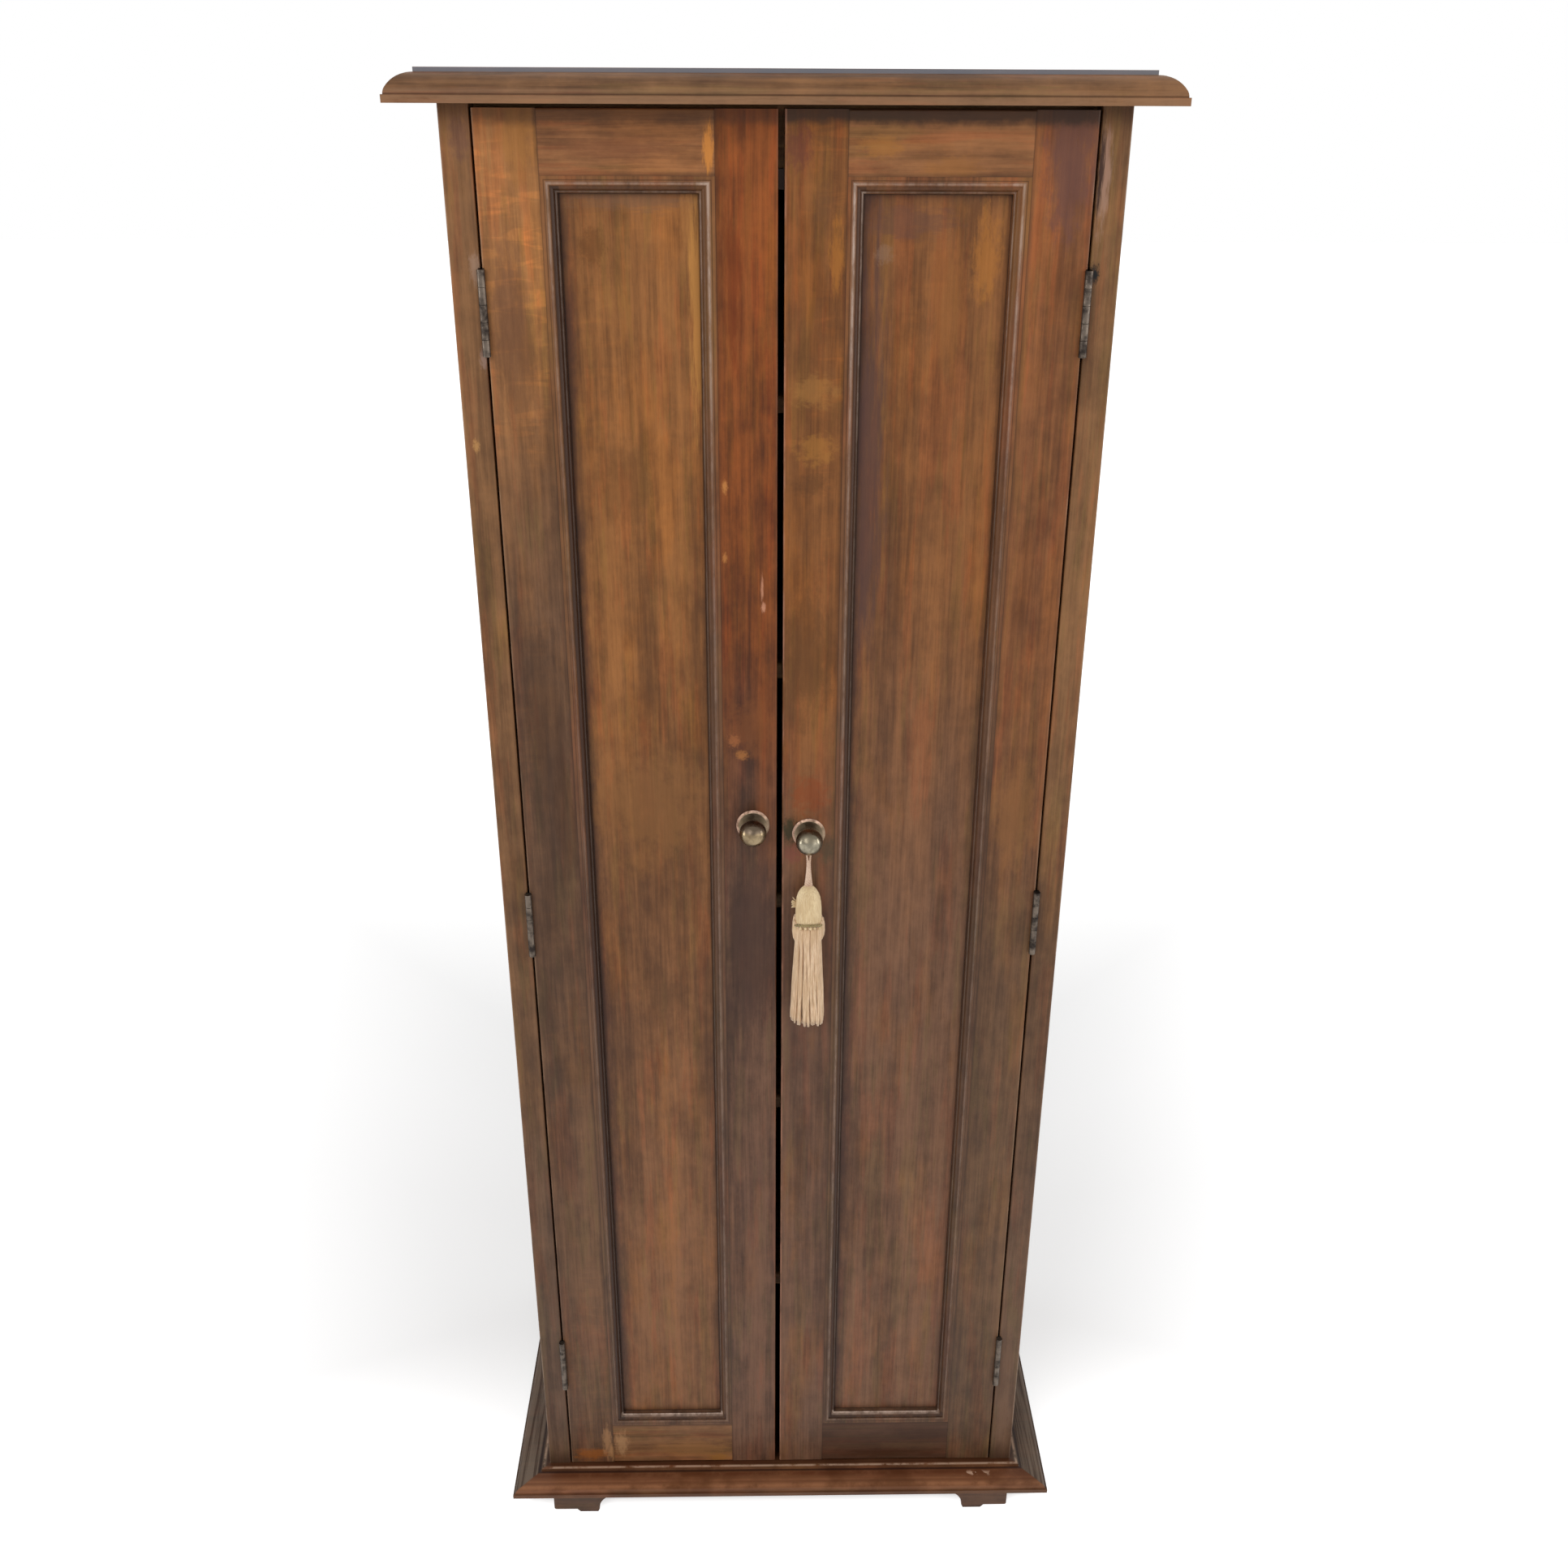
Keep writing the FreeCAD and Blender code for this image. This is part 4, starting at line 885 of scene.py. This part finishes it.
# Threads laid in the fork between the cord's two legs, twisted with them
bm = bmesh.new()
for strand in range(6):
    points, radii = [], []
    for i in range(25):
        t = i / 24
        angle = ROUND * (strand / 6 + 1.6 * t)
        wide, deep = (0.35 + 2.1 * t ** 1.5) * MM, (0.3 + 0.9 * t) * MM
        place = hanging(wide * math.cos(angle), (21 + (HEAD_AT / MM - 20.4) * t) * MM)
        place.y += deep * math.sin(angle)
        points.append(place)
        radii.append((0.5 + 0.35 * t) * MM)
    tube(bm, points, radii, sides=7)
finished("tassel_fork_threads", bm, "tassel", cord_thread)

# The collar: a ruff of loops under a line of green-gold thread
neck_at = HEAD_AT + HEAD_LENGTH
front_of = Vector((1, 0, 0)).cross(down).normalized()


def around(angle, along, radius):
    """A place round the leaning axis."""
    return (hanging(0, along) + Vector((1, 0, 0)) * math.cos(angle) * radius
            + front_of * math.sin(angle) * radius)


def facing(angle):
    """1 on the tassel's front, falling to 0 at its sides and behind."""
    return max(0.0, -math.sin(angle)) ** 1.2


# At the sides and behind, loops stand out as a ruff. In front they lie flat, under the skirt.
bm = bmesh.new()
LOOPS = 34
STANDING = ((0.4, 0.76), (-0.12, 0.84), (-0.2, 0.93), (0.1, 0.985), (0.45, 1.0), (0.75, 0.96),
            (0.98, 0.86))
LYING = ((0.2, 0.62), (0.03, 0.66), (0.06, 0.7), (0.2, 0.72), (0.45, 0.72), (0.75, 0.7),
         (0.98, 0.66))
for k in range(LOOPS):
    angle = ROUND * (k + draw(-0.2, 0.2)) / LOOPS
    lie = facing(angle)
    swell = draw(0.9, 1.0)
    lift = draw(0.8, 3.6) * MM * (1 - lie) - 1.9 * MM * lie
    points = []
    for i, (one, other) in enumerate(zip(STANDING, LYING)):
        along, reach = (p + (q - p) * lie for p, q in zip(one, other))
        points.append(around(angle + 0.03 * math.sin(7 * k + i), neck_at - lift * (1 - along)
                             + along * (COLLAR_LENGTH - 0.8 * MM),
                             (COLLAR_RADIUS - 1.35 * MM) * reach * swell))
    tube(bm, points, mm(0.8, 1.05, 1.25, 1.3, 1.3, 1.2, 0.9), sides=8, flat=0.85)
core = [(0.2 * MM, 8 * MM), (2 * MM, 8.6 * MM), (12 * MM, 8.6 * MM),
        (COLLAR_LENGTH - 0.6 * MM, 8.2 * MM)]
lathe(bm, core, hanging(0, neck_at), down, 64)
finished("tassel_collar_loops", bm, "tassel", skirt_thread, ["tassel_collar"])

bm = bmesh.new()
for k in range(26):
    gap = ROUND / 26
    points = [around(gap * (k + t), neck_at + (0.6 - 0.7 * math.sin(math.pi * t)
                                               - 3.2 * facing(gap * (k + t))) * MM, 10.9 * MM)
              for t in (-0.12, 0.2, 0.5, 0.8, 1.12)]
    tube(bm, points, mm(0.5, 1.0, 1.25, 1.0, 0.5), sides=7)
finished("tassel_gold_line", bm, "tassel", gold_thread)

# Small knots of pale thread under the line
bm = bmesh.new()
for k in range(17):
    angle = ROUND * (k + draw(-0.2, 0.2)) / 17
    size = draw(0.9, 1.5) * MM
    bead = [(-size * math.cos(math.pi * i / 6), max(size * math.sin(math.pi * i / 6), 0.05 * MM))
            for i in range(7)]
    place = around(angle, neck_at + (2.4 - 3.2 * facing(angle)) * MM, 11.2 * MM)
    lathe(bm, bead, place, down, 12)
finished("tassel_knots", bm, "tassel", head_thread)

# The skirt: cut threads. In front they come from the line, elsewhere from inside the collar.
skirt_low, skirt_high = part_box("tassel_skirt")
skirt_x, skirt_y = (skirt_low.x + skirt_high.x) / 2, (skirt_low.y + skirt_high.y) / 2
end_radius = (skirt_high.x - skirt_low.x) / 2
bm = bmesh.new()
RINGS = ((36, 1.0), (32, 0.84), (24, 0.64), (17, 0.42), (8, 0.18))
for count, share in RINGS:
    for k in range(count):
        angle = ROUND * (k + draw(-0.32, 0.32)) / count
        start_reach = share * 9.4 * MM
        end_reach = share * (end_radius - 1.7 * MM) * draw(0.9, 1.0)
        twist = draw(-0.08, 0.08)
        wave = draw(0, 6.28)
        foot_z = skirt_low.z + draw(0.2, 4.6) * MM * (1 if share > 0.7 else 0.8)
        foot_z += 2.4 * MM * share * facing(angle)
        head_z = skirt_high.z + 3.0 * MM
        width = draw(0.95, 1.4) * MM
        points, radii = [], []
        if share > 0.8 and facing(angle) > 0.2:
            for along, reach in ((-3.2 * facing(angle) + 1.2, 9.6), (4, 10), (9, 10)):
                points.append(around(angle, neck_at + along * MM, reach * (0.4 + 0.6 * share) * MM))
                radii.append(width * (0.75 if along < 2 else 1))
            head_z = skirt_high.z - 4 * MM
        for i in range(13):
            t = i / 12
            reach = start_reach + (end_reach - start_reach) * (t ** 0.9)
            reach += 0.25 * MM * math.sin(9 * t + wave) * t
            bearing = angle + twist * t + 0.04 * math.sin(7 * t + wave)
            points.append(Vector((skirt_x + reach * math.cos(bearing),
                                  skirt_y + reach * math.sin(bearing),
                                  head_z + (foot_z - head_z) * t)))
            radii.append(width * (1 if i < 12 else 0.72))
        tube(bm, points, radii, sides=8)
finished("tassel_skirt_threads", bm, "tassel", skirt_thread, ["tassel_skirt"])

# Screw heads, nails and other small fasteners


def screw_head(bm, centre, outward, radius, rise, slot_turn):
    """A slotted countersunk head, slightly domed."""
    outward = Vector(outward).normalized()
    side = Quaternion(outward, slot_turn) @ outward.orthogonal().normalized()
    other = outward.cross(side)
    slot_half, slot_deep = 0.16 * radius, 0.5 * rise
    for sign in (-1, 1):
        rim, crown = [], []
        for i in range(13):
            angle = math.pi * i / 12
            u = radius * math.cos(angle)
            v = max(radius * math.sin(angle), slot_half)
            u = math.copysign(min(abs(u), math.sqrt(max(radius ** 2 - v ** 2, 0))), u)
            rim.append(centre + side * u + other * sign * v)
            crown.append(centre + side * u * 0.8 + other * sign * max(v * 0.8, slot_half)
                         + outward * rise)
        rim_v = [bm.verts.new(p) for p in rim]
        crown_v = [bm.verts.new(p) for p in crown]
        for i in range(12):
            bm.faces.new((rim_v[i], rim_v[i + 1], crown_v[i + 1], crown_v[i]))
        bm.faces.new(crown_v)
        bm.faces.new((rim_v[0], crown_v[0], crown_v[-1], rim_v[-1]))
        bm.faces.new(list(reversed(rim_v)))
    floor = [centre + side * a * radius * 0.9 + other * b * slot_half + outward * slot_deep
             for a, b in ((-1, -1), (1, -1), (1, 1), (-1, 1))]
    bm.faces.new([bm.verts.new(p) for p in floor])


pins_low, pins_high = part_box("hinge_pins")
HINGE_LENGTH = 57 * MM
HINGE_LEVELS = [pins_low.z + share * (pins_high.z - HINGE_LENGTH - pins_low.z)
                for share in (0, 0.5, 1)]

for side, sign in (("left", -1), ("right", 1)):
    leaf_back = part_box(f"{side}_hinge_frame_leaves")[1].y
    board_low, board_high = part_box(f"{side}_side_board")
    stile_low, stile_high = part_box(f"{side}_hinge_stile")
    board_face = board_high.x if side == "left" else board_low.x
    stile_face = stile_low.x if side == "left" else stile_high.x
    screw_y = (leaf_back + stile_low.y) / 2 + 1.6 * MM
    for body, face, way, word in (("carcass", board_face, -sign, "frame"),
                                  (f"{side}_door", stile_face, sign, "door")):
        bm = bmesh.new()
        for level in HINGE_LEVELS:
            for share, shift in ((0.16, 1.5), (0.5, -1.5), (0.84, 1.5)):
                place = Vector((face, screw_y + shift * MM, level + share * HINGE_LENGTH))
                screw_head(bm, place, (way, 0, 0), 2.6 * MM, 0.25 * MM, draw(0, 3.1))
        finished(f"{side}_hinge_{word}_screws", bm, body, screw_metal, smooth=False)

for side in SIDES:
    bm = bmesh.new()
    knob_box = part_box(f"{side}_knob")
    middle = (knob_box[0] + knob_box[1]) / 2
    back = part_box(f"{side}_lock_stile")[1].y
    screw_head(bm, Vector((middle.x, back, middle.z)), (0, 1, 0), 4 * MM, 1.6 * MM, 0.7)
    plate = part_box(f"{side}_strike_plate")
    plate_middle = (plate[0] + plate[1]) / 2
    for shift in (-5.5, 5.5):
        screw_head(bm, Vector((plate_middle.x + shift * MM, plate[1].y, plate_middle.z)),
                   (0, 1, 0), 1.9 * MM, 0.22 * MM, shift)
    finished(f"{side}_door_fixings", bm, f"{side}_door", screw_metal, smooth=False)

# The catch's steel pole pieces, and the nails round the back panel
bm = bmesh.new()
catch_low, catch_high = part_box("door_catch")
catch_middle = (catch_low + catch_high) / 2
for sign in (-1, 1):
    centre_x = catch_middle.x + sign * (catch_high.x - catch_low.x) / 4
    for lift in (-1.2, 1.2):
        matrix = Matrix.Translation((centre_x, catch_low.y + 0.55 * MM, catch_middle.z + lift * MM))
        matrix = matrix @ Matrix.Diagonal((12 * MM, 0.9 * MM, 0.9 * MM, 1))
        bmesh.ops.create_cube(bm, size=1, matrix=matrix)
bmesh.ops.bevel(bm, geom=bm.edges[:], offset=0.12 * MM, segments=1, affect="EDGES")
finished("catch_poles", bm, "carcass", screw_metal, smooth=False)

bm = bmesh.new()
back_low, back_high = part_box("back_panel")
inset = 9 * MM
nails = []
for k in range(11):
    z = back_low.z + inset + (back_high.z - back_low.z - 2 * inset) * k / 10
    nails += [(back_low.x + inset * 0.55, z), (back_high.x - inset * 0.55, z)]
for k in range(1, 5):
    x = back_low.x + (back_high.x - back_low.x) * k / 5
    nails += [(x, back_low.z + inset), (x, back_high.z - inset)]
for x, z in nails:
    lathe(bm, [(-0.4 * MM, 1.5 * MM), (-0.02 * MM, 1.5 * MM), (0.0, 1.3 * MM), (0.0, 0.4 * MM)],
          Vector((x, back_high.y - 0.01 * MM, z)), (0, 1, 0), 16)
finished("back_nails", bm, "carcass", screw_metal, smooth=False)

# Floor, world and lamps


def showing_rays(tree):
    """1 for the rays that see the white ground: the camera's, glossy and transmission ones."""
    rays = tree.nodes.new("ShaderNodeLightPath")
    found = rays.outputs["Is Camera Ray"]
    for kind in ("Is Glossy Ray", "Is Transmission Ray"):
        either = tree.nodes.new("ShaderNodeMath")
        either.operation = "MAXIMUM"
        tree.links.new(found, either.inputs[0])
        tree.links.new(rays.outputs[kind], either.inputs[1])
        found = either.outputs[0]
    return found


floor_mesh = bpy.data.meshes.new("floor")
bm = bmesh.new()
bmesh.ops.create_grid(bm, x_segments=1, y_segments=1, size=12)
bm.to_mesh(floor_mesh)
bm.free()
placed("floor", floor_mesh)

look = Look("floor_white")
look.give("Base Color", (0.8, 0.8, 0.8, 1))
look.give("Roughness", 0.9)
look.give("Specular IOR Level", 0.1)

# The glow that the camera sees paints the cabinet's shadow on the floor: darkest under the base,
# soft grey round the cabinet and for SHADE_BACK behind it, less on its right side, and white
# further off and ahead.
SHADE_BACK, DARK_GLOW, WHITE_GLOW, RIGHT_GLOW = 0.4, 0.37, 0.61, 0.06
foot_low, foot_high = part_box("base_board")
wide = (look.x, foot_low.x, foot_high.x)
under = ring(look, [wide, (look.y, foot_low.y, foot_high.y)])
beside = ring(look, [wide, (look.y, foot_low.y, foot_high.y + SHADE_BACK)])
near_by = look.smooth(beside, 0, -0.5)
far = look.line(look.smooth(beside, -0.35, -1.2), 0.68, look.times(near_by, 0.32))
ahead = look.smooth(look.y, 0.12, -0.28)
white = look.line(look.math("MAXIMUM", far, ahead), WHITE_GLOW, DARK_GLOW)
white = look.line(look.smooth(look.x, 0, 0.3), RIGHT_GLOW, white)
open_floor = look.smooth(under, 0.035, 0.004)
white = look.times(white, look.line(open_floor, 0.9, 0.1))
glow = look.add("ShaderNodeEmission", {"Strength": look.times(showing_rays(look.tree), white)})
both = look.add("ShaderNodeAddShader", {0: look.shader.outputs[0], 1: glow.outputs[0]})
look.put(look.output.inputs["Surface"], both.outputs[0])
floor_mesh.materials.append(look.material)

# The world lights the cabinet by LIGHT, and shows as white
LIGHT, SHOWN = 0.36, 1.0
world = bpy.data.worlds.new("studio")
scene.world = world
world.use_nodes = True
tree = world.node_tree
tree.nodes.clear()
chosen = tree.nodes.new("ShaderNodeMixShader")
tree.links.new(showing_rays(tree), chosen.inputs[0])
for socket, strength in ((1, LIGHT), (2, SHOWN)):
    sky = tree.nodes.new("ShaderNodeBackground")
    sky.inputs["Color"].default_value = (1, 1, 1, 1)
    sky.inputs["Strength"].default_value = strength
    tree.links.new(sky.outputs[0], chosen.inputs[socket])
tree.links.new(chosen.outputs[0], tree.nodes.new("ShaderNodeOutputWorld").inputs[0])


def lamp(name, place, target, wide, tall, watts):
    """A rectangular lamp at place, turned to target, in metres."""
    data = bpy.data.lights.new(name, "AREA")
    data.shape = "RECTANGLE"
    data.size, data.size_y = wide, tall
    data.energy = watts
    light = placed(name, data)
    light.location = place
    light.rotation_mode = "QUATERNION"
    light.rotation_quaternion = (Vector(target) - Vector(place)).to_track_quat("-Z", "Y")
    light.visible_camera = False


lamp("key", (-1.6, -2.6, 2.6), (0, 0, 0.75), 1.8, 1.8, 43)
lamp("fill", (2.2, -2.4, 1.6), (0, 0, 0.6), 2.2, 2.2, 24)
lamp("left_strip", (-1.7, -0.4, 0.95), (0, -0.13, 0.75), 0.4, 0.9, 6)
lamp("right_strip", (1.7, -0.4, 0.95), (0, -0.13, 0.75), 0.4, 0.9, 6)

scene.view_settings.view_transform = "Standard"
